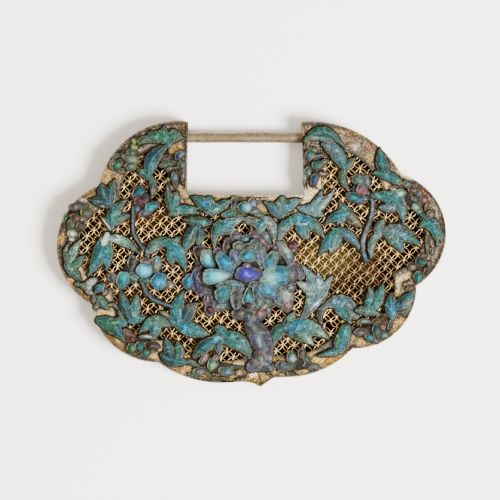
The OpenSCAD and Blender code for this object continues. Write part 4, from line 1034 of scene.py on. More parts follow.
# Leaves: node, seat (0 lattice, 1 border), rim colour, blades. Each blade: start x, y; a point it
# passes, x, y; tip x, y; width; tint; tint at the tip where it is another.
leafRows = [
    ["leaf_left_shoulder_top", 1, "rim", [
        [-25.2, 33, -28.8, 35.2, -34.4, 32.6, 3.6, "greenTeal", "steel"],
        [-25, 33, -26.3, 35.5, -26.2, 38.2, 3.2, "greenTeal"],
        [-25, 33, -23.5, 35.4, -20.4, 34.6, 3.6, "greenTeal", "duskTeal"],
        [-24, 34, -24, 36, -22.4, 37.2, 2.2, "duskTeal"],
        [-25, 35, -25, 33.5, -24.9, 31.9, 2.4, "teal"]]],
    ["leaf_left_shoulder_long", 1, "rim", [
        [-25.8, 32.2, -29.9, 28, -30.6, 22.3, 4.2, "deepTeal", "blueTeal"],
        [-29.5, 22.5, -32, 24, -34.2, 25.4, 2.4, "teal"],
        [-30.5, 23.5, -29.6, 20.5, -29.9, 17.7, 2.0, "duskTeal"]]],
    ["leaf_left_cusp", 1, "rim", [
        [-42, 14.5, -42.3, 18, -41, 22.5, 3.2, "deepTeal", "greenTeal"],
        [-42.5, 14.8, -44.2, 17.8, -45, 21, 4, "deepTeal"],
        [-41.5, 14.6, -45, 15.6, -48.8, 16.3, 3, "deepTeal"]]],
    ["leaf_left_of_notch", 1, "rim", [
        [-23.8, 12.6, -24.7, 16.2, -25.2, 20.4, 2.8, "duskTeal", "steel"],
        [-23.4, 13, -23.2, 16, -22.2, 19, 3, "teal", "greyTeal"],
        [-24, 13.6, -20, 13.3, -15.6, 13.8, 2.8, "teal"],
        [-20, 13, -18, 12.7, -15.6, 12.4, 1.7, "greyTeal"],
        [-21, 12.8, -23, 12.4, -25.2, 11.6, 2.1, "greyTeal"]]],
    ["leaf_under_notch_left", 1, "rim", [
        [-12.2, 12, -14.6, 15.2, -18.5, 17.2, 3.6, "teal", "duskTeal"],
        [-12.4, 12.2, -12.6, 15, -13, 17.4, 3.2, "teal", "greyTeal"],
        [-12.2, 12.2, -9.4, 14.3, -5.7, 16.3, 3, "teal"]]],
    ["leaf_upper_left", 1, "rim", [
        [-41.8, 7.8, -41.3, 12.2, -37.5, 16.3, 3.8, "teal", "duskTeal"],
        [-41.6, 8.6, -39.6, 10.6, -36.5, 11.7, 2.6, "greyTeal"],
        [-41.4, 8.6, -42.8, 10, -44.5, 10.6, 1.7, "greyTeal"]]],
    ["leaf_left_big", 1, "rim", [
        [-43.2, 6, -45.2, 0.5, -49.1, -6.6, 4.8, "teal"],
        [-43.4, 4, -43.2, -0.2, -43.6, -4.7, 3.2, "brightTeal"],
        [-43.5, 4.6, -38.8, 3.9, -33.7, 0.2, 3, "paleGreen", "greyTeal"],
        [-43.8, 2.6, -44, 4.6, -43.2, 6.4, 1.6, "white"],
        [-45.4, 11.4, -43.5, 9, -42, 6.6, 0.7, "white"]]],
    ["leaf_left_border", 1, "rim", [
        [-54.4, -4, -53.6, 0.4, -51.2, 4.3, 2.7, "paleGreen"],
        [-54.4, -3.8, -52.6, -2.6, -49.9, -0.3, 2.6, "greenTeal", "teal"],
        [-55.6, -1.8, -53.8, -5, -50.9, -8, 3.2, "greyTeal", "greenTeal"],
        [-55.6, -2.4, -55.9, 0.6, -54.8, 3.4, 1.3, "duskTeal", "steel"]]],
    ["leaf_left_arch", 0, "rim", [
        [-31.6, -0.2, -28.2, 3.1, -23.4, 4.4, 3.4, "greyTeal", "teal"],
        [-26.4, 3.6, -22.4, 0.9, -19.8, -5.5, 4.2, "brightTeal"],
        [-24.4, 1.6, -24.4, -0.6, -23.7, -3.6, 2.6, "teal"],
        [-24, 3.4, -22.8, 4.2, -21.5, 5, 1.6, "greyTeal"]]],
    ["leaf_left_of_peony", 0, "rim", [
        [-16, 8.9, -18.6, 5, -20.1, 0.3, 3.6, "deepTeal", "teal"],
        [-19.8, 10.3, -15.6, 9.7, -11.1, 9.3, 3.1, "duskTeal", "deepTeal"],
        [-16, 8.5, -15.6, 5.5, -16.4, 2.5, 2.8, "deepTeal", "greyTeal"]]],
    ["leaf_hood", 1, "rimPale", [
        [-9.5, 10, -10.9, 6.5, -11.1, 1.5, 2.6, "deepTeal", "grey"],
        [-10.6, 6, -8, 8.4, -2.2, 10.9, 4, "blueTeal", "paleBlue"],
        [-9.4, 7.4, -7.5, 7.2, -4.6, 7.4, 2.8, "deepTeal", "paleBlue"],
        [-2.6, 10.5, 1, 9.6, 4, 8, 2.6, "grey", "greyTeal"],
        [3, 10.6, 5.8, 8.6, 6.7, 2.5, 3, "paleBlue", "steel"],
        [4.4, 10.4, 2.8, 8.6, 2.6, 6.1, 3.4, "blueTeal", "paleBlue"]]],
    ["leaf_under_notch_right", 1, "rim", [
        [9.2, 11.3, 7.2, 13.2, 3.8, 15.6, 3.4, "greyBlue", "teal"],
        [9, 11.6, 8.8, 14.2, 9.8, 17.4, 4.2, "greyTeal"],
        [9.4, 12, 11.4, 14.6, 15.2, 16.5, 3.2, "blueTeal", "paleGrey"]]],
    ["leaf_right_pale", 1, "rimPale", [
        [14, 13.9, 19.6, 14.2, 24.7, 19.3, 3.4, "paleBlue", "greyBlue"],
        [17.6, 13.4, 19.8, 15.6, 20.9, 19, 2.9, "greyBlue"],
        [16, 13.4, 19, 12.6, 21.7, 11.1, 2.6, "paleBlue", "paleGreen"]]],
    ["leaf_right_arch", 0, "rim", [
        [8, 3.4, 9.9, 8.4, 15, 10.3, 3.3, "greyBlue", "teal"],
        [10.6, 9.9, 16.8, 9.7, 21.9, 4.8, 4.4, "blueTeal", "greyTeal"],
        [13.6, 9.6, 15.4, 7, 16.6, 4.4, 3.6, "blueTeal", "paleBlue"]]],
    ["leaf_right_of_peony", 0, "rim", [
        [32.2, 1.8, 28.6, 5.8, 23.8, 7.8, 3, "greyBlue", "teal"],
        [27, 7, 23.8, 4.4, 20, -0.5, 3.8, "teal"],
        [26.6, 6, 25, 3.4, 23.4, -0.1, 3, "teal", "paleBlue"]]],
    ["leaf_right_upright", 0, "rim", [
        [32.6, 8.4, 28.8, 12, 26.3, 15.6, 3.4, "greyBrown", "teal"],
        [30, 11.4, 25.8, 11.4, 22.2, 9.2, 3.2, "brightTeal", "deepTeal"],
        [29, 11.2, 27, 10.6, 25.7, 8.9, 2.2, "brightTeal", "paleBlue"]]],
    ["leaf_right_shoulder_arc", 1, "rim", [
        [15.9, 33.9, 21.6, 36.6, 27.7, 32.2, 3.2, "greenTeal", "teal"],
        [17.6, 34.4, 21.6, 34.8, 25.6, 32.7, 2.0, "greyTeal"]]],
    ["leaf_right_shoulder_long", 1, "rim", [
        [21.4, 33, 25.8, 29.8, 28.2, 23.6, 4.2, "greyBlue", "teal"],
        [27.6, 25.5, 27.2, 22.4, 29.3, 18.8, 2.2, "duskTeal"],
        [27.6, 25, 29, 27, 30.9, 28.7, 2.2, "deepTeal", "duskTeal"]]],
    ["leaf_right_cusp", 1, "rim", [
        [40.6, 22.6, 39.2, 26.8, 38.4, 31.8, 3.8, "deepTeal", "teal"],
        [42.4, 21.8, 39.6, 23.9, 36.2, 24.1, 2.8, "brightTeal"],
        [39.8, 24.2, 42.4, 22.7, 46, 20.6, 2.9, "teal", "greyTeal"]]],
    ["leaf_right_upper", 1, "rim", [
        [36.1, 17.4, 43.4, 15.8, 45.3, 8.8, 4.2, "teal", "greyBlue"],
        [43.4, 14.4, 41, 13.9, 37.9, 14, 2.8, "greyBlue"]]],
    ["leaf_right_edge", 1, "rim", [
        [50.7, 8.4, 54.4, 8.4, 55.6, 2.5, 3.8, "teal"],
        [54.5, 8, 54.4, 9.4, 54.2, 10.6, 2.2, "teal"],
        [53.4, 9.4, 52, 10.8, 50, 12.7, 2, "deepTeal", "teal"],
        [55.4, 7, 56.6, 6, 56.8, 3.7, 1.7, "teal", "greyTeal"]]],
    ["leaf_right_big_arch", 1, "rim", [
        [35.8, -0.9, 36.4, 4, 40.2, 7, 2.3, "greyTeal", "paleGreen"],
        [38, 5, 38.2, 7.8, 39.8, 10.5, 2.8, "greyTeal"],
        [38.8, 6.6, 44.6, 6.4, 50.7, 2.2, 4.6, "greyBlue", "teal"],
        [40, 6.4, 42.8, 4.4, 45.2, 0.5, 3.8, "greyTeal", "brightTeal"]]],
    ["leaf_palmette", 0, "rimPale", [
        [15.2, -19.3, 18.6, -10.8, 14.9, -3.2, 4.2, "greyBlue", "paleBlue"],
        [17, -15, 19.6, -10, 19.9, -5.6, 3.8, "paleBlue"],
        [15.4, -19.2, 20, -12.6, 24.4, -6.3, 3.8, "greyBlue", "paleBlue"],
        [18.8, -12.4, 16.4, -10, 13.3, -8.4, 2.8, "paleGrey", "silver"]]],
    ["leaf_below_palmette", 0, "rim", [
        [6.2, -27.6, 8, -23.2, 12.6, -21.6, 3.8, "greenTeal", "deepTeal"],
        [9.4, -22.6, 16.2, -21.8, 23.3, -25.5, 5, "blueTeal", "paleGreen"],
        [9.5, -23, 14.6, -24, 18.7, -27.6, 4.2, "deepTeal", "paleGreen"],
        [9.6, -22.4, 11.4, -20, 12.7, -17.2, 2.8, "deepTeal", "paleGreen"]]],
    ["leaf_lower_right_arch", 0, "rimPale", [
        [20.9, -20.8, 20.8, -17, 25, -14.4, 1.7, "darkBrown", "greyBlue"],
        [22.4, -15.4, 27.4, -14.6, 32.4, -18.4, 4.4, "greyBlue", "steel"],
        [25, -15.8, 27.8, -17.6, 29.4, -20.6, 3.4, "teal", "deepTeal"],
        [28.6, -16.6, 30.6, -18.2, 32.2, -20, 2.8, "greyTeal", "steel"]]],
    ["leaf_right_fork", 1, "rim", [
        [33.8, -17.4, 35.6, -13.8, 35.1, -9.8, 3.1, "teal", "greyTeal"],
        [35.2, -17.9, 37.6, -13.6, 39.5, -8.9, 3.5, "teal"],
        [31.2, -17, 34.8, -17, 38.8, -18.5, 2.8, "greyTeal"]]],
    ["leaf_lower_right_border", 1, "rim", [
        [42.2, -19.4, 41.8, -15.4, 42, -11.9, 3.8, "blueTeal", "deepTeal"],
        [42.2, -16.4, 45.6, -14.6, 49, -10.6, 3.9, "deepTeal", "teal"],
        [42.4, -16.8, 45.6, -16.2, 48, -15, 2.8, "deepTeal", "greyTeal"]]],
    ["leaf_bottom_right", 1, "rim", [
        [28.7, -21.5, 27.5, -24.8, 26.6, -29.4, 4.1, "teal", "brightTeal"],
        [28.4, -27.2, 25.2, -29.2, 19.4, -30.6, 2.3, "teal"],
        [27, -23.2, 25.9, -25.8, 24.8, -28.8, 2.2, "greenTeal"],
        [28.2, -24.8, 28.4, -26.8, 28.4, -28.6, 1.6, "darkBrown"]]],
    ["leaf_bottom_arch", 1, "rim", [
        [-17.3, -30.9, -13.4, -27.2, -8, -24.6, 3.8, "deepTeal", "blueTeal"],
        [-11.4, -25, -4.4, -26.1, -0.5, -31.3, 5, "teal", "greyTeal"],
        [-7, -25.6, -9, -23.2, -11, -21.5, 3, "teal"],
        [-9.6, -26, -10, -27.8, -9.8, -30.2, 2.4, "deepTeal", "greyTeal"]]],
    ["leaf_lower_left_big", 0, "rim", [
        [-21.6, -21, -22.3, -16.6, -20.4, -11, 4.2, "teal"],
        [-20.6, -21.2, -19.2, -17.6, -16.1, -14.8, 4.2, "deepTeal", "greyBrown"],
        [-22.8, -20.8, -18.2, -22.6, -11.8, -24.9, 4.4, "brightTeal", "greyTeal"],
        [-26.5, -19, -24, -20.2, -20.6, -22.6, 1.9, "blueTeal"],
        [-27.7, -17.3, -26, -18, -24, -19.2, 1.1, "paleGreen", "greyTeal"]]],
    ["leaf_lower_left_small", 1, "rim", [
        [-25, -21.4, -29.2, -20.4, -33.8, -23.8, 4, "greyTeal", "brightTeal"],
        [-29.2, -19.6, -29, -22.4, -29.4, -25.1, 3.6, "brightTeal", "greyTeal"],
        [-26.4, -20.2, -28.6, -19.6, -30.8, -20.8, 2.2, "teal"]]],
    ["leaf_left_fork", 0, "rim", [
        [-36, -20.4, -38, -15.8, -39.3, -10.9, 3.4, "deepTeal", "duskTeal"],
        [-36, -20.2, -34.9, -16, -34.6, -11.7, 3, "brightTeal", "greyTeal"],
        [-37.4, -20.2, -34, -19.4, -30.5, -19.2, 2.8, "brightTeal", "greyTeal"]]],
    ["leaf_lower_left_border", 1, "rim", [
        [-46.4, -19.9, -42, -21.6, -37.9, -26.2, 4.3, "greenTeal", "deepTeal"],
        [-43, -21.6, -40, -20.6, -37.4, -20.9, 3.4, "greenTeal", "blueTeal"]]],
    ["leaf_bottom_left", 1, "rim", [
        [-23.9, -31.8, -24.8, -28.6, -25.8, -25.2, 3, "deepTeal", "teal"],
        [-22.8, -32, -22, -29.2, -22.4, -26.1, 3.2, "deepTeal", "greenTeal"],
        [-27, -30, -23.6, -31.8, -18.2, -32.4, 3.6, "deepTeal", "teal"],
        [-24.8, -30.6, -23.8, -32.2, -22.6, -33.3, 2.4, "deepTeal"],
        [-19, -31.8, -17.6, -32.8, -16, -33.4, 1.6, "greyTeal"]]],
    ["leaf_left_sprig", 1, "rim", [
        [-46.6, -11.2, -45.4, -10, -44.1, -8.8, 2.4, "blueTeal"],
        [-46.2, -12.6, -45, -14.4, -43, -16.3, 2.8, "greyTeal", "teal"],
        [-44.6, -12.2, -43.9, -11.4, -43.4, -10.2, 1.4, "mauve"],
        [-43.6, -16.4, -41.6, -15.2, -39.8, -17.2, 1.1, "grey"],
        [-40, -16.9, -39.2, -18.6, -38.3, -20.5, 1.3, "greyTeal"],
        [-49.4, -8.3, -48, -8.4, -46.4, -7, 2.4, "roseWhite", "silver"],
        [-48.9, -11, -48.7, -9.8, -48, -8.6, 1.6, "silver"],
        [-51.2, -9.7, -50.2, -9.5, -49.2, -9.7, 2.0, "grey"],
        [-53, -9.1, -52, -9.1, -51, -9.2, 1.5, "duskTeal"],
        [-50.1, -10.7, -48.8, -11.3, -47.5, -12.1, 1.8, "grey", "silver"],
        [-47.1, -11.6, -47.5, -13.4, -47.2, -15.2, 1.2, "greyPurple"],
        [-47, -16.3, -46.5, -15.4, -45.8, -14.4, 1.4, "grey", "greyTeal"]]],
]

for leafRow in leafRows:
    makeLeaf(leafRow)
print("leaves:", len(leafRows))


# The crest mark and its half width paint a pale highlight along each stem's crest, with no ridge in the
# height
stemShape = {"cell": 0.16, "steps": 6, "room": 4, "edge": 0.4, "rise": 0.35, "wobble": 0.6, "rimMark": 0.7,
             "rimFrom": 0.1, "rimTo": 0.35, "ridge": 0.25, "crestGlintHalf": 0.3}
# Stems: node, seat, rim colour, points of the middle line, each x, y, width and tint
stemRows = [
    ["stem_upper_left", 0, "rimPurple", [
        [-35.6, 14, 1, "steel"], [-35.7, 10, 1, "steel"], [-35.6, 6.5, 1, "steel"], [-34.6, 4.4, 1, "steel"],
        [-32.8, 1.9, 1, "steel"]]],
    ["stem_lower_left", 0, "rimPurple", [
        [-32.9, -8.5, 1.2, "steel"], [-31.8, -11.5, 1.3, "greyPurple"], [-29.6, -13.7, 1.2, "steel"],
        [-23.9, -15.8, 0.9, "greyBlue"]]],
    ["stem_right", 0, "rimPurple", [
        [34.8, 18.5, 1.1, "grey"], [36.3, 15.7, 1.1, "greyPurple"], [36.1, 12.5, 1.1, "greyLavender"],
        [35.6, 10.5, 1.1, "steel"], [34.2, 7, 1.3, "greyPurple"], [33.4, 4, 1.5, "greyLavender"],
        [33.4, 1, 1.6, "greyPurple"], [34.3, -1.7, 1.3, "greyBlue"]]],
    ["peony_trunk", 1, "rimPurple", [
        [-0.6, -18.6, 2.8, "slate"], [-0.1, -20.8, 4.0, "plum"], [1.7, -23.6, 6.2, "slate"],
        [2.9, -26.0, 6.4, "plum"], [4.0, -28.0, 4.6, "plum"], [3.7, -30.0, 5.2, "plum"],
        [2.9, -32.0, 5.8, "slate"], [-0.2, -34.0, 3.0, "plum"], [2.6, -32.4, 5.0, "greyPurple"],
        [5.2, -33.6, 3.0, "slate"]]],
]


# A stem: the same sheet over one bent line, rise (1 - (1 - depth / half width) squared), its tint
# passing from one point's to the next's
def makeStem(row):
    nodeName, seatNumber, rimName, stops = row
    seat = seats[seatNumber]
    shape = stemShape
    line = np.array([stop[:3] for stop in stops], float)
    t = np.linspace(0, len(line) - 1, shape["steps"] * len(line))
    path = np.stack([np.interp(t, np.arange(len(line)), line[:, k]) for k in (0, 1)], axis=1)
    half = np.interp(t, np.arange(len(line)), line[:, 2]) / 2
    stations = np.concatenate([[0], np.cumsum(np.linalg.norm(np.diff(line[:, :2], axis=0), axis=1))])
    colours = np.array([paint(stop[3]) for stop in stops])

    def distance(x, y):
        return bladeField(x, y, [path], [half])[0] + shape["wobble"] * wobble(x, y)

    def height(x, y):
        gap, along, across, width, number = bladeField(x, y, [path], [half])
        share = np.clip(-gap / width, 0, 1)
        return seat + shape["edge"] + shape["rise"] * (1 - (1 - share) ** 2)

    low, high = path.min(axis=0) - shape["room"], path.max(axis=0) + shape["room"]
    points, quads, zone = sheetOver(distance, height, low, high, shape["cell"], seat, leafShape["foot"])
    shown = zone == 0
    x, y = points[shown, 0], points[shown, 1]
    gap, along, across, width, number = bladeField(x, y, [path], [half])
    tint = np.stack([np.interp(along, stations, colours[:, k]) for k in range(4)], axis=1)
    tint = stained(x, y, tint)
    rimMark = shape["rimMark"] * (1 - smooth(-gap, shape["rimFrom"], shape["rimTo"]))
    # Painted highlight: a pale line along the stem's crest
    ridge = shape["ridge"] * bell(across, shape["crestGlintHalf"] * width)
    marks = np.stack([rimMark, ridge, np.zeros(len(x))], axis=1)
    barbs = np.stack([along, across, along * 0], axis=1)
    channels = channelsFor(zone, tint, np.tile(paint(rimName), (len(x), 1)), marks, barbs)
    makePiece(nodeName, points, quads, noTriangles, feather, channels)


for stemRow in stemRows:
    makeStem(stemRow)
print("stems:", len(stemRows))


# Painted shading on every petal: shade darkens the rim rings, and the four shares after it lighten the dome
# towards its middle as a painted highlight; the foot rings take the painted shadow colour
petalShape = {
    "around": 32, "edge": 0.35, "rise": 0.4, "fullDome": 1.5, "domeAt": [0.25, 0.5, 0.75, 0.92], "peak": 0.01,
    "many": 20, "manySwell": 1.15, "fewSwell": 1.04, "rimWidth": 0.58, "fineRim": 0.55, "rimRaise": 0.12,
    "innerRim": 0.12, "plate": 0.35, "plateDrop": 0.1, "levelStep": 0.15, "foot": 0.12, "footHeight": 0.1,
    "bead": 0.6, "pinch": 1.1, "pinchPower": 1.6, "waves": [(5, 3, 0.05), (3, 5, 0.04)], "barbShift": 2.3,
    "shade": 0.45, "glow": [0.6, 0.95, 1.2, 1.4], "tipBlend": (-0.4, 0.6), "grit": 0.7, "paleGrit": 0.6,
    "paleFrom": 0.05, "paleTo": 0.15, "lean": 0.03, "rimAt": (0.2, 0.5, 1), "rimDrop": 0.7,
    "rimMarks": [0, 0, 0, 1, 1, 0.9, 0.45], "footRise": 0.02, "mostIn": 0.7,
}


# A petal's row with its kind, which is petal where the row names none
def withKind(row):
    return row if isinstance(row[6], str) else row[:6] + ["petal"] + row[6:]


# Petals, all of a flower at once. Each is a grid of rings by turns: a ring's outline is the oval
# (length cos, width sin) drawn in by a distance, pinched at one end for a drop, bowed sideways by
# bow (1 - (2 p / length) squared), turned and moved to its place. Heights go from the foot up the
# wall to a raised rim and then over a shallow dome. Waves, each a count around, a shift with the place
# and a size, keep the outline from being a perfect oval. A flower of many petals has broader ones, with
# broader rims.
# A row: centre x, y; length; width; direction in degrees; bow; kind, where it is a drop, bead or plate;
# level; tint; tint at the far end, where it is another.
def petalArrays(rows, baseZ):
    rows = [withKind(row) for row in rows]
    place = np.array([row[0:6] for row in rows], float)
    kinds = [row[6] for row in rows]
    levels = np.array([row[7] for row in rows], float)
    near = np.array([paint(row[8]) for row in rows])
    far = np.array([paint(row[-1]) for row in rows])
    isBead = np.array([kind == "bead" for kind in kinds], float)[:, None]
    isDrop = np.array([kind == "drop" for kind in kinds], float)[:, None, None]
    isPlate = np.array([kind == "plate" for kind in kinds], float)[:, None]
    shape = petalShape
    many = len(rows) > shape["many"]
    rimWidth = shape["rimWidth"] * (1 if many else shape["fineRim"])
    swell = np.where(isPlate > 0, 1, shape["manySwell"] if many else shape["fewSwell"])
    halfLength, halfWidth = swell * place[:, 2:3] / 2, swell * place[:, 3:4] / 2
    # rings: how far in from the outline in mm, then shares of what is left; heights above the base
    inward = np.array([-shape["foot"], -shape["foot"], -shape["lean"], 0.0]
                      + [share * rimWidth for share in shape["rimAt"]])
    heights = np.array([0.0, shape["footRise"], shape["footHeight"], shape["edge"],
                        shape["edge"] + shape["rimRaise"],
                        shape["edge"] + shape["rimDrop"] * shape["rimRaise"], shape["edge"]])
    rim = np.array(shape["rimMarks"])
    small = np.minimum(halfLength, halfWidth)
    shareIn = np.clip(inward / small, -1, shape["mostIn"])
    lastRing = shareIn[:, -1:]
    domeShares = lastRing + (1 - lastRing) * np.array(shape["domeAt"])
    share = np.concatenate([shareIn, domeShares], axis=1)
    inner = np.clip((share - lastRing) / (1 - lastRing), 0, 1)
    domeRise = shape["rise"] * (1 - (1 - inner) ** 2) * np.minimum(1, halfWidth / shape["fullDome"])
    dome = shape["edge"] + domeRise
    level = np.concatenate([np.tile(heights, (len(rows), 1)), dome[:, len(inward):]], axis=1)
    beadLevel = np.where(share > -0.01, shape["edge"] + shape["bead"] * halfWidth * np.sqrt(
        np.clip(1 - (1 - share) ** 2, 0, 1)), level)
    level = np.where(isBead > 0, beadLevel, level)
    level = np.where(isPlate > 0, np.minimum(level, shape["edge"] - shape["plateDrop"]), level)
    rimMarks = np.concatenate([np.tile(rim, (len(rows), 1)), np.zeros(domeShares.shape)], axis=1)
    rimMarks[:, len(inward)] = shape["innerRim"]
    rimMarks = rimMarks * (1 - isBead) * (1 - isPlate)
    turn = 2 * np.pi * np.arange(shape["around"]) / shape["around"]
    cos, sin = np.cos(turn)[None, None], np.sin(turn)[None, None]
    narrow = np.abs(np.sin(turn / 2))[None, None] ** shape["pinchPower"]
    pinch = 1 - isDrop * (1 - narrow * shape["pinch"])
    waves = 1
    for axis, (crests, shift, size) in enumerate(shape["waves"]):
        waves = waves + size * np.sin(crests * turn[None] + place[:, axis:axis + 1] * shift)[:, None]
    radius = (1 - share)[:, :, None]
    p = halfLength[:, :, None] * cos * radius * waves
    q = halfWidth[:, :, None] * sin * radius * waves * pinch
    bow = place[:, 5][:, None, None]
    q = q + bow * (1 - (p / halfLength[:, :, None]) ** 2)
    angle = np.radians(place[:, 4])[:, None, None]
    x = place[:, 0][:, None, None] + p * np.cos(angle) - q * np.sin(angle)
    y = place[:, 1][:, None, None] + p * np.sin(angle) + q * np.cos(angle)
    z = baseZ + levels[:, None] * shape["levelStep"] + level
    z[:, :2] = baseZ + heights[:2]
    z = np.repeat(z[:, :, None], shape["around"], axis=2)
    count, rings, around = z.shape
    points = np.stack([x, y, z], axis=-1).reshape(-1, 3)
    index = np.arange(count * rings * around).reshape(count, rings, around)
    following = np.roll(index, -1, axis=2)
    quads = np.stack([index[:, :-1], following[:, :-1], following[:, 1:], index[:, 1:]], axis=-1)
    bottom = len(points) + np.arange(count)
    top = bottom + count
    spine = bow[:, 0, 0]
    middleX = place[:, 0] - spine * np.sin(angle[:, 0, 0])
    middleY = place[:, 1] + spine * np.cos(angle[:, 0, 0])
    peak = z[:, -1, 0] + shape["peak"]
    points = np.concatenate([points, np.stack([middleX, middleY, np.full(count, baseZ)], axis=1),
                             np.stack([middleX, middleY, peak], axis=1)])
    triangles = np.concatenate([
        np.stack([np.repeat(bottom, around), following[:, 0].ravel(), index[:, 0].ravel()], axis=1),
        np.stack([np.repeat(top, around), index[:, -1].ravel(), following[:, -1].ravel()], axis=1)])
    blend = smooth(p / halfLength[:, :, None], *shape["tipBlend"])[..., None]
    # Painted shading: rim rings darkened, dome rings lightened towards the middle, and the foot rings given
    # the painted shadow colour
    glow = np.concatenate([np.full(len(inward), shape["shade"]), shape["glow"]])
    tint = (near[:, None, None] * (1 - blend) + far[:, None, None] * blend) * glow[:, None, None]
    tint[:, :3] = np.array(paint("foot"))
    tint = np.concatenate([tint.reshape(-1, 4), near, (near + far) / 2])
    paleness = smooth(tint[:, 1], shape["paleFrom"], shape["paleTo"])
    tint[:, 3] = shape["grit"] * (1 - shape["paleGrit"] * paleness)
    marks = np.zeros((len(points), 3))
    marks[:count * rings * around, 0] = np.repeat(rimMarks[:, :, None], around, axis=2).ravel()
    barbs = np.zeros((len(points), 3))
    barbs[:count * rings * around, 0] = q.ravel()
    barbs[:count * rings * around, 1] = p.ravel()
    barbs[:count * rings * around, 2] = np.repeat(np.arange(count) * shape["barbShift"], rings * around)
    return points, quads.reshape(-1, 4), triangles, tint, marks, barbs


# A flower: all its petals as one piece, in the inlay's material
def makeFlower(row):
    nodeName, baseZ, rimName, rows = row
    points, quads, triangles, tint, marks, barbs = petalArrays(rows, baseZ)
    channels = {"tint": tint, "rimTint": np.tile(paint(rimName), (len(points), 1)), "marks": marks,
                "barbs": barbs}
    makePiece(nodeName, points, quads, triangles, feather, channels)


# The peony's tiers: each is a plate, a petal's edge, the room that its levels take, and a gap
tierRoom = {"petal": 0.35, "levels": 0.6, "sunk": 0.05}
tier = petalShape["plate"] + tierRoom["petal"] + tierRoom["levels"] + border["gap"]
tiers = (seats[0], seats[0] + tier, seats[0] + 2 * tier)
onPlate = petalShape["plate"] - tierRoom["sunk"]

peonyOuter = [
    # The plate is painted shade, seen in the gaps between petals
    [-2.3, -6.4, 29.0, 21.4, 0, 0, "plate", 0, "under"],
    [-18.6, -8.4, 4.4, 4.0, 90, 0, 1, "blueTeal", "azure"],
    [-15.5, -7.9, 8.2, 2.9, 90, 1.3, 2, "navy"],
    [-16.9, -8.3, 2.6, 1.7, 90, 0.2, 3, "blue", "violet"],
    [-13.2, -11.1, 5.8, 2.3, -14, -0.4, 2, "greyPurple"],
    [-15.7, 1.0, 3.6, 3.0, 10, 0, 1, "darkBrown"],
    [-12.7, -1.5, 6.0, 3.9, 108, 0.5, 2, "cyan", "paleCyan"],
    [-10.1, 0.4, 2.8, 2.6, 90, 0, 4, "roseWhite"],
    [-6.9, 2.3, 5.2, 3.0, 82, 0.1, 2, "greyBrown"],
    [-4.7, 5.2, 3.3, 3.0, 0, 0, 3, "greyLavender"],
    [4.2, 4.5, 5.4, 3.2, -50, 0.3, 1, "paleGrey", "greyTeal"],
    [-1.6, 4.4, 4.0, 2.6, 0, 0, 2, "paleBlue"],
    [0.8, 5.4, 3.2, 2.8, -60, 0, 2, "mauve"],
    [2.7, 3.6, 6.6, 2.3, -52, 0.5, 3, "mauve", "rose"],
    [7.9, 0.7, 3.4, 3.2, 100, 0, 2, "mauve", "greyLavender"],
    [9.6, 0, 7.6, 3.2, -62, 1.2, 3, "silver", "paleBlue"],
    [12.0, 2.1, 3.2, 3.0, 0, 0, 1, "greyLavender"],
    [11.8, 2.5, 2.0, 1.9, 0, 0, "bead", 2, "redBrown"],
    [12.5, 1.2, 1.3, 1.1, 0, 0, "bead", 2, "pink"],
    [11.6, -5.9, 5.2, 3.8, 90, 0, 2, "grey", "greyLavender"],
    [13.8, -5.2, 5.4, 2.6, -62, 0.2, 1, "greyPurple", "greyLavender"],
    [9.8, -12.2, 6.2, 5.2, -48, 0, 1, "paleGrey", "silver"],
    [11.4, -10.3, 3.6, 2.4, 20, 0, 2, "grey", "paleGrey"],
    [8.2, -9.8, 4.4, 2.6, 15, 0, 1, "greyTeal", "paleGreen"],
    [10.8, -15.6, 3.6, 3.0, 60, 0, 1, "mauve", "pink"],
    [7.4, -13.4, 4.2, 3.4, -20, 0, 2, "greyBlue", "paleBlue"],
    [8.2, -15.3, 5.0, 1.9, -22, 0.3, 1, "paleGrey", "greyTeal"],
    [4.6, -14.2, 3.8, 3.2, -20, 0, 2, "grey", "greyTeal"],
    [3.9, -15.7, 3.4, 2.2, 40, 0, 3, "pink", "lightGreen"],
    [5.0, -16.4, 4.4, 1.5, 95, 0, 1, "lightGreen", "greyTeal"],
    [2.5, -17.6, 4.4, 3.7, 80, 0, 2, "grey", "pink"],
    [2.5, -17.7, 2.1, 1.9, 90, 0, "bead", 3, "pink"],
    [-3.6, -17.8, 4.4, 3.6, 20, 0, 2, "greyBrown", "grey"],
    [-0.5, -17.2, 3.4, 3.4, 0, 0, 1, "grey"],
    [-0.2, -17.9, 4.2, 1.5, 28, -0.4, 3, "greyLavender", "roseWhite"],
    [-9.4, -15.4, 5.4, 3.0, 22, -0.2, 1, "grey", "paleGrey"],
    [-6.4, -14.6, 3.4, 2.4, 80, 0, 0, "greyTeal"],
    [-12.4, -16.8, 3.4, 3.0, 90, 0, 0, "greyLavender"],
    [-12.4, -16.7, 2.3, 1.9, 90, 0, "bead", 1, "redBrown"],
    [-12.8, -13.4, 5.2, 2.0, 82, 0.5, 1, "mauve", "grey"],
    [-10.6, -13.6, 3.0, 3.0, 0, 0, 2, "greyLavender"],
    [-15.1, -7, 3.2, 2.6, 90, 0, 4, "roseWhite", "mauve"],
    [-15, -6.8, 1.8, 1.4, 90, 0, "bead", 5, "mauve"],
]
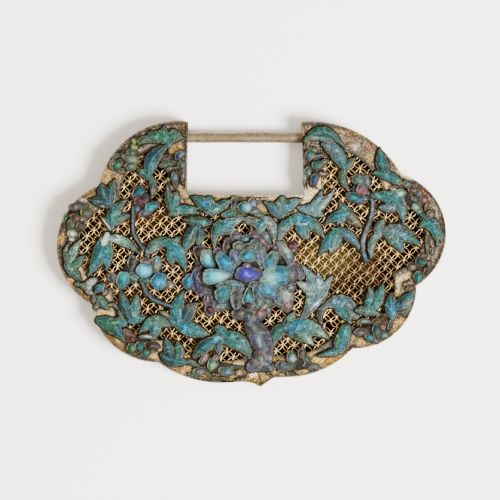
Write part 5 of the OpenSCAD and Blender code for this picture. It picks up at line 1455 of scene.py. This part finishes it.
peonyMiddle = [
    # The plate is painted shade, seen in the gaps between petals
    [-1.5, -6.4, 17, 15, 0, 0, "plate", 0, "under"],
    [-7.9, -2.7, 6.8, 4.0, -52, 0, 2, "azure"],
    [-4.9, -1.3, 5.4, 3.1, 97, 0, 1, "greyBlue", "lavender"],
    [-1, -0.5, 5.0, 3.8, 0, 0, 3, "brightTeal", "azure"],
    [2.4, -0.2, 7.4, 3.0, 102, -0.5, 1, "greyLavender", "grey"],
    [1.8, -0.7, 3.8, 1.8, 98, 0, 2, "violet", "greyLavender"],
    [5.8, -2.1, 6.0, 3.8, 62, 0, 2, "azure", "greyTeal"],
    [-3.9, 2.2, 3.2, 3.1, 0, 0, 2, "grey"],
    [-1, 2.0, 3.2, 2.3, 0, 0, 1, "greyLavender"],
    [-1, 2.0, 1.9, 1.4, 0, 0, "bead", 2, "mauve"],
    [1.2, 3.0, 3.4, 2.0, -20, 0.3, 1, "grey", "greyBlue"],
    [-9.8, -6.6, 8.6, 6.0, 4, 0, "drop", 3, "ice", "paleCyan"],
    [7.2, -6.8, 8.6, 6.2, 196, 0, 3, "azure", "paleCyan"],
    [-4.4, -13.2, 6.2, 3.2, 82, 0, 1, "under", "steel"],
    [-5.4, -12.8, 5.4, 1.3, 88, 0.3, 2, "paleGrey", "mauve"],
    [2.0, -11.6, 5.4, 3.0, 108, 0, 1, "greyBlue"],
    [2.2, -14.2, 3.8, 3.0, 90, 0, 1, "greyTeal", "mauve"],
    [0.6, -9.2, 2.8, 2.0, 0, 0, 0, "greyTeal", "mauve"],
    [5.2, -11, 6.4, 3.7, -36, 0, 2, "cyan", "blue"],
    [4.2, -8.8, 4.2, 2.0, -20, 0, 1, "greyTeal", "greyLavender"],
    [-5, -9.2, 5.4, 2.3, -17, 0, 2, "paleBlue", "teal"],
    [-1, -12.6, 5.2, 4.4, 90, 0, "drop", 3, "azure", "brightTeal"],
    [-0.6, -15.2, 3.0, 2.4, 0, 0, 1, "roseWhite", "pink"],
    [-1.1, -15.3, 2, 1.7, 0, 0, "bead", 2, "redBrown"],
    [-8.4, -9.3, 4.2, 1.6, 8, 0, 0, "brightTeal"],
    [-8.6, -12, 5.2, 4.2, 65, 0, 1, "teal", "azure"],
]
peonyHeart = [
    [-1.0, -6.0, 8.0, 4.6, 0, 0, -1, "violet"],
    [-1.4, -3.6, 2.4, 1.8, 0, 0, -1, "mauve", "roseWhite"],
    [1.8, -4.8, 2.6, 1.0, -15, 0, -0.5, "greyBrown", "orange"],
]


plateSpan = 1.8


# The flat plate beneath a flower, in the painted shade colour that shows in the gaps between petals: an oval
# of plateSpan times its two radii
def plated(x, y, rx, ry):
    return [x, y, plateSpan * rx, plateSpan * ry, 0, 0, "plate", 0, "under"]


flowerRows = [
    ["peony_outer_petals", tiers[0] + onPlate, "rimPurple", peonyOuter],
    ["peony_middle_petals", tiers[1] + onPlate, "rimBlue", peonyMiddle],
    ["peony_heart", tiers[2], "rimPurple", peonyHeart],
    ["bud_upper_left", seats[0], "rimPurple", [
        plated(-32.2, 15.6, 2.6, 3.4),
        [-33.9, 18.6, 4.4, 3.2, 38, 0, 2, "deepTeal", "teal"],
        [-33, 16, 4.6, 3, 18, 0, 3, "redBrown", "darkBrown"],
        [-29.9, 14.2, 4.8, 2.8, 28, 0, 2, "cyan", "blueTeal"],
        [-31.8, 12.3, 4.2, 2.3, 20, 0, 1, "grey"],
        [-34.6, 13.4, 2.4, 2.4, 90, 0, 1, "steel"]]],
    ["blossom_left", seats[0], "rimBlue", [
        plated(-32.8, -5, 6.4, 3.2),
        [-35.9, -2.6, 4.8, 2.6, 85, 0, 1, "black"],
        [-31.7, -2.3, 3.4, 2.6, 0, 0, 2, "mauve"],
        [-32.1, -5, 5.0, 4.3, 0, 0, 4, "ice"],
        [-28.7, -3.2, 5.2, 3.4, 80, 0, 2, "grey", "paleGrey"],
        [-38.5, -7.8, 5.4, 4.0, 75, 0, 3, "brightTeal", "cyan"],
        [-41.7, -7.2, 3, 2.8, 60, 0, 2, "greyPurple", "mauve"],
        [-35.6, -7, 3.8, 3.2, 0, 0, 1, "grey", "paleGrey"],
        [-27.7, -8.2, 5.4, 4.8, 75, 0, 4, "azure"],
        [-24.7, -9.3, 2.8, 2.4, 0, 0, 1, "mauve", "roseWhite"],
        [-24.3, -9.6, 1.1, 1.1, 0, 0, "bead", 3, "white"],
        [-31.4, -8, 4.2, 2.4, 0, 0, 1, "greyTeal", "grey"]]],
    ["bud_upper_right", seats[0], "rimPurple", [
        plated(32.6, 19.6, 2.6, 3.2),
        [32, 22.4, 3.9, 3.3, 10, 0, 2, "greyTeal"],
        [34.5, 21.6, 4.2, 2.5, 85, 0, 1, "greyTeal", "paleGrey"],
        [33.2, 19.3, 4, 3.4, 90, 0, 3, "rose", "mauve"],
        [31.1, 16.8, 6, 3.1, -22, 0, 2, "teal"],
        [34.1, 16.6, 1.8, 1.8, 0, 0, 1, "paleGrey"]]],
    ["floret_left_shoulder", seats[1], "rim", [
        plated(-38, 28, 3, 3.2),
        [-40.3, 26.6, 4.2, 2.6, 45, 0, 2, "greenTeal"],
        [-36.3, 28.6, 5.4, 2.7, -18, 0, 3, "greyLavender", "lightGreen"],
        [-36, 30.4, 3.4, 2, -10, 0, 2, "greyTeal"],
        [-36.2, 26.3, 3.6, 2.8, 0, 0, 2, "grey", "greyTeal"],
        [-38.9, 24.8, 2.2, 1.8, 0, 0, 3, "mauve"],
        [-35.4, 32, 2.3, 2.2, 0, 0, "bead", 0, "yellowGreen"],
        [-35.2, 33.9, 1.8, 1.7, 0, 0, "bead", 0, "yellowGreen"],
        [-40.1, 29.2, 4.2, 1.5, 15, 0.3, 1, "steel"],
        [-41.7, 27.2, 3.4, 1.0, 65, 0.3, 1, "greyBrown"],
        [-32.6, 34.4, 4.2, 1.0, 28, 0.4, 0, "steel"]]],
    ["floret_left_of_notch", seats[1], "rimDark", [
        plated(-23.4, 26.6, 2.4, 3.6),
        [-21.5, 29.6, 3.8, 2.4, 45, 0, 3, "navy", "paleBlue"],
        [-25.8, 28.7, 4.2, 1.9, 18, 0, 2, "greyPurple"],
        [-25.2, 27, 5.4, 2, 12, 0, 1, "greyTeal", "greenTeal"],
        [-20.9, 26.8, 2.6, 2.6, 90, 0, 1, "greyTeal"],
        [-24.3, 25.3, 2.6, 1.2, 20, 0.3, 1, "paleGrey"],
        [-22, 24.7, 3.4, 1.7, -55, 0.4, 2, "darkBrown"],
        [-22.9, 22.4, 5, 2.2, 98, 0, 3, "slate", "greyBlue"],
        [-20.5, 23.4, 5.0, 1.3, 88, 0, 1, "grey", "silver"],
        [-24.9, 22.3, 1.6, 1.2, 80, 0, 1, "yellowGreen"]]],
    ["floret_right_of_notch", seats[1], "rimDark", [
        plated(19, 26, 2.2, 3.6),
        [17.6, 29.6, 3.4, 3.2, 60, 0, 2, "greyBlue"],
        [20.3, 28.9, 3.4, 1.3, 20, 0.5, 2, "paleGrey"],
        [19.8, 26.6, 3.8, 2.7, 10, 0, 3, "greyTeal", "teal"],
        [21.7, 27.5, 3, 1.8, 25, 0, 2, "grey", "greyLavender"],
        [17, 24.6, 3.4, 2.4, 90, 0, 1, "greyTeal"],
        [16.4, 22.8, 4.6, 1.1, 78, 0.3, 1, "silver"],
        [18.9, 22.3, 4.4, 2.5, 72, 0, 3, "navy", "greyBlue"],
        [21.7, 24, 3, 1.4, 0, 0, 2, "pink"],
        [16.8, 32.8, 3.6, 1.8, 60, 0, 0, "grey"],
        [18.5, 31.2, 3, 1.6, -20, 0, 0, "greyTeal", "silver"]]],
    ["floret_top_centre", seats[1], "rim", [
        plated(-2.4, 14.1, 4, 2),
        [-6.2, 12.2, 5.8, 2.2, 14, 0, 1, "blueTeal", "greyTeal"],
        [-5.2, 15, 4.8, 2, 88, 0, 2, "plum"],
        [-2, 14, 4.4, 3.6, 10, 0, 3, "teal", "paleCyan"],
        [0.4, 15.4, 3.4, 2.7, 90, 0, 2, "lavender", "greyLavender"],
        [0.9, 12.8, 3.2, 2, 0, 0, 1, "paleGrey"],
        [2.3, 11.7, 3, 1.6, -10, 0, 2, "paleBlue"],
        [-3.4, 16.6, 3.4, 1.2, 0, 0, 0, "greyPurple"],
        [-3.4, 11.6, 3.4, 1.4, 0, 0, 0, "greyTeal"]]],
    ["floret_left_edge", seats[1], "rim", [
        plated(-53, 9.6, 2, 4.4),
        [-52, 14.3, 5.6, 2.4, 6, 0, 2, "greyBrown", "steel"],
        [-49.6, 12.4, 3.4, 3, 0, 0, 1, "grey"],
        [-53, 11, 3.2, 2, -20, 0, 3, "redBrown"],
        [-54.1, 8.8, 3.4, 2.2, 90, 0, 2, "steel"],
        [-51.2, 8.2, 2.9, 2.8, 0, 0, 1, "greyBrown", "darkBrown"],
        [-53.6, 6.1, 3.1, 2.8, 0, 0, 2, "white", "mint"],
        [-53.8, 4.5, 2, 1.8, 0, 0, 0, "white"],
        [-55.8, 10.8, 3, 1.4, 70, 0, 0, "green"]]],
    ["floret_lower_left", seats[1], "rimDark", [
        plated(-33.6, -26.8, 3.6, 2.2),
        [-36.6, -24.2, 4.4, 2.9, -50, 0, 3, "greyBrown", "redBrown"],
        [-35.6, -25.5, 1.8, 1.2, -60, 0, "bead", 5, "rose"],
        [-36, -28.2, 3.4, 2.6, 80, 0, 2, "green"],
        [-33.6, -28, 3.9, 2.8, 88, 0, 3, "deepTeal", "blueTeal"],
        [-31.7, -29.7, 3, 2.6, 30, 0, 2, "teal", "greenTeal"],
        [-30, -27.5, 5, 2.6, -10, 0, 1, "darkBrown", "greyPurple"],
        [-31.2, -25.2, 5.2, 1.5, -5, 0.5, 2, "silver"],
        # A thin petal in the foot colour: a painted shadow line
        [-36.6, -26.4, 2.8, 1.0, -20, 0, 1, "foot"]]],
    ["floret_bottom_left", seats[1], "rim", [
        plated(-9.6, -34.4, 6.6, 1.8),
        [-14.3, -31.5, 3.9, 2.1, 50, 0, 2, "mauve", "pink"],
        [-11.6, -33, 4.2, 3.2, 65, 0, 3, "lightGreen", "greyTeal"],
        [-10.6, -31.4, 2.8, 1.8, 70, 0, 4, "mauve"],
        [-15.7, -35.2, 4, 2.7, 15, 0, 1, "greyBlue", "greyLavender"],
        [-7.6, -35.2, 4.9, 2.9, -10, 0, 2, "greyBlue", "greyLavender"],
        [-3.8, -35.7, 2.5, 2.1, 0, 0, "bead", 0, "amber"],
        [-12.4, -35.4, 5.4, 1.2, -48, -0.8, 0, "grey"],
        # The two thin dark petals on the next lines are painted shade
        [-9.4, -37, 4.4, 0.8, -5, -0.2, 0, "under"],
        [-3.4, -37.4, 2.8, 0.7, 4, 0, 0, "under"],
        [-4.6, -34.2, 4.6, 1.0, 0, 0.3, 0, "greyTeal"],
        [-17.8, -36.3, 3, 1.2, -20, 0, 0, "greyTeal"]]],
    ["floret_bottom_right", seats[1], "rim", [
        plated(13.8, -33.2, 4.4, 1.8),
        [12.1, -31, 4.2, 3, 100, 0, 2, "paleGrey", "greyTeal"],
        [15, -29.6, 3.2, 2.2, 70, 0, 2, "greyBrown", "greyPurple"],
        [16.4, -31.4, 3, 1.8, -50, 0, 1, "grey"],
        [9.6, -33.6, 5.2, 2.9, -15, 0, 1, "greyPurple", "greyBlue"],
        [17.8, -33.6, 5.2, 2.4, -12, 0, 1, "plum", "grey"],
        # A thin petal in the foot colour: a painted shadow line
        [13.2, -33.8, 4.4, 1.0, 105, 0.5, 1, "foot"],
        [9.2, -35.2, 3.2, 0.8, -8, 0, 0, "greyTeal"],
        # A thin dark petal: painted shade
        [5.5, -36.1, 2.4, 1.0, -40, 0, 0, "under"],
        [11.4, -35.8, 2.2, 0.9, 8, 0, 0, "greyTeal"]]],
    ["floret_lower_right", seats[1], "rimDark", [
        plated(36.2, -23.2, 3.6, 2),
        [33.8, -20.9, 5, 1.7, 5, 0.8, 1, "grey", "paleGrey"],
        [33, -23.4, 4.6, 2.6, 4, 0, 2, "mauve", "greyPurple"],
        [35.4, -25.1, 3.0, 2.7, 0, 0, 3, "blueTeal"],
        [37.1, -26, 2.6, 2, -30, 0, 2, "greyLavender"],
        [37.4, -22.8, 4, 2.6, 90, 0, 3, "deepTeal"],
        [39.5, -24.5, 3.4, 2.8, 20, 0, 2, "greyTeal", "paleGreen"],
        [39.6, -20.3, 2.8, 2, 0, 0, 2, "darkBrown", "redBrown"],
        [37.3, -20.2, 2.2, 1.8, 0, 0, 2, "darkBrown"],
        [39, -18.7, 3.4, 1.7, 10, 0, 1, "darkBrown"],
        [41.6, -21.4, 3.8, 1.4, 75, 0, 1, "navy", "greyTeal"]]],
    ["floret_right", seats[1], "rimDark", [
        plated(50.3, -3.7, 2, 3.4),
        [50.9, -2.3, 4, 2.8, -5, 0, 2, "deepTeal"],
        [50, -6.9, 3.8, 2.9, 80, 0, 3, "brightTeal", "teal"],
        [51.9, -5.5, 3.4, 1.5, 80, -0.4, 2, "darkBrown"],
        [48.1, -3.7, 3, 2.7, 0, 0, 1, "greyBrown"],
        [51.2, -0.5, 3.2, 1.4, 0, 0, 1, "mauve"],
        [54.2, 0.9, 2.4, 1.8, 80, 0, 0, "grey"],
        [52.5, 3, 6, 1.2, 92, -0.3, 0, "greyBrown", "grey"],
        [47.6, -10.3, 2.8, 1.6, 15, 0, 0, "greyBrown", "orange"],
        [53.4, -3.6, 2.8, 1.2, 85, 0, 0, "greyBrown"]]],
    ["floret_upper_right", seats[1], "rimDark", [
        plated(47.8, 17.4, 2.6, 2.8),
        [46.8, 20.8, 3.2, 2.5, -30, 0, 2, "greyLavender", "greyBlue"],
        [48.3, 19.2, 3.2, 1.9, -10, 0, 3, "greyBrown", "mauve"],
        [50.1, 18.2, 2.5, 2.2, 70, 0, 2, "greyLavender"],
        [44.7, 18.2, 3.4, 2.7, 15, 0, 2, "paleCyan", "mint"],
        [42.7, 19.4, 2.4, 1.6, -20, 0, 0, "silver"],
        [46.3, 15.7, 4.8, 1.2, 112, 0.6, 2, "paleGrey"],
        [49, 16.4, 2.4, 2, 0, 0, 1, "grey", "greyTeal"],
        [49.4, 14, 2.8, 2.5, 0, 0, 1, "mint", "paleGreen"],
        [50.3, 12.7, 2, 1.4, 0, 0, 1, "mint"],
        [53.8, 11.9, 2.9, 2.4, 60, 0, 0, "greyBrown"],
        [51.7, 16.3, 2.6, 2.4, 0, 0, 0, "rose", "mauve"],
        [52.4, 14.2, 2.6, 1.0, 70, 0, 0, "greyBrown"]]],
]

for flowerRow in flowerRows:
    makeFlower(flowerRow)
print("flowers:", len(flowerRows))


for nodeName, material in (("case_tray", caseGilt), ("cross_bar", barGilt)):
    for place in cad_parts[nodeName].material_slots:
        place.material = material
    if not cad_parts[nodeName].material_slots:
        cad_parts[nodeName].data.materials.append(material)
print("case and bar have their finishes")
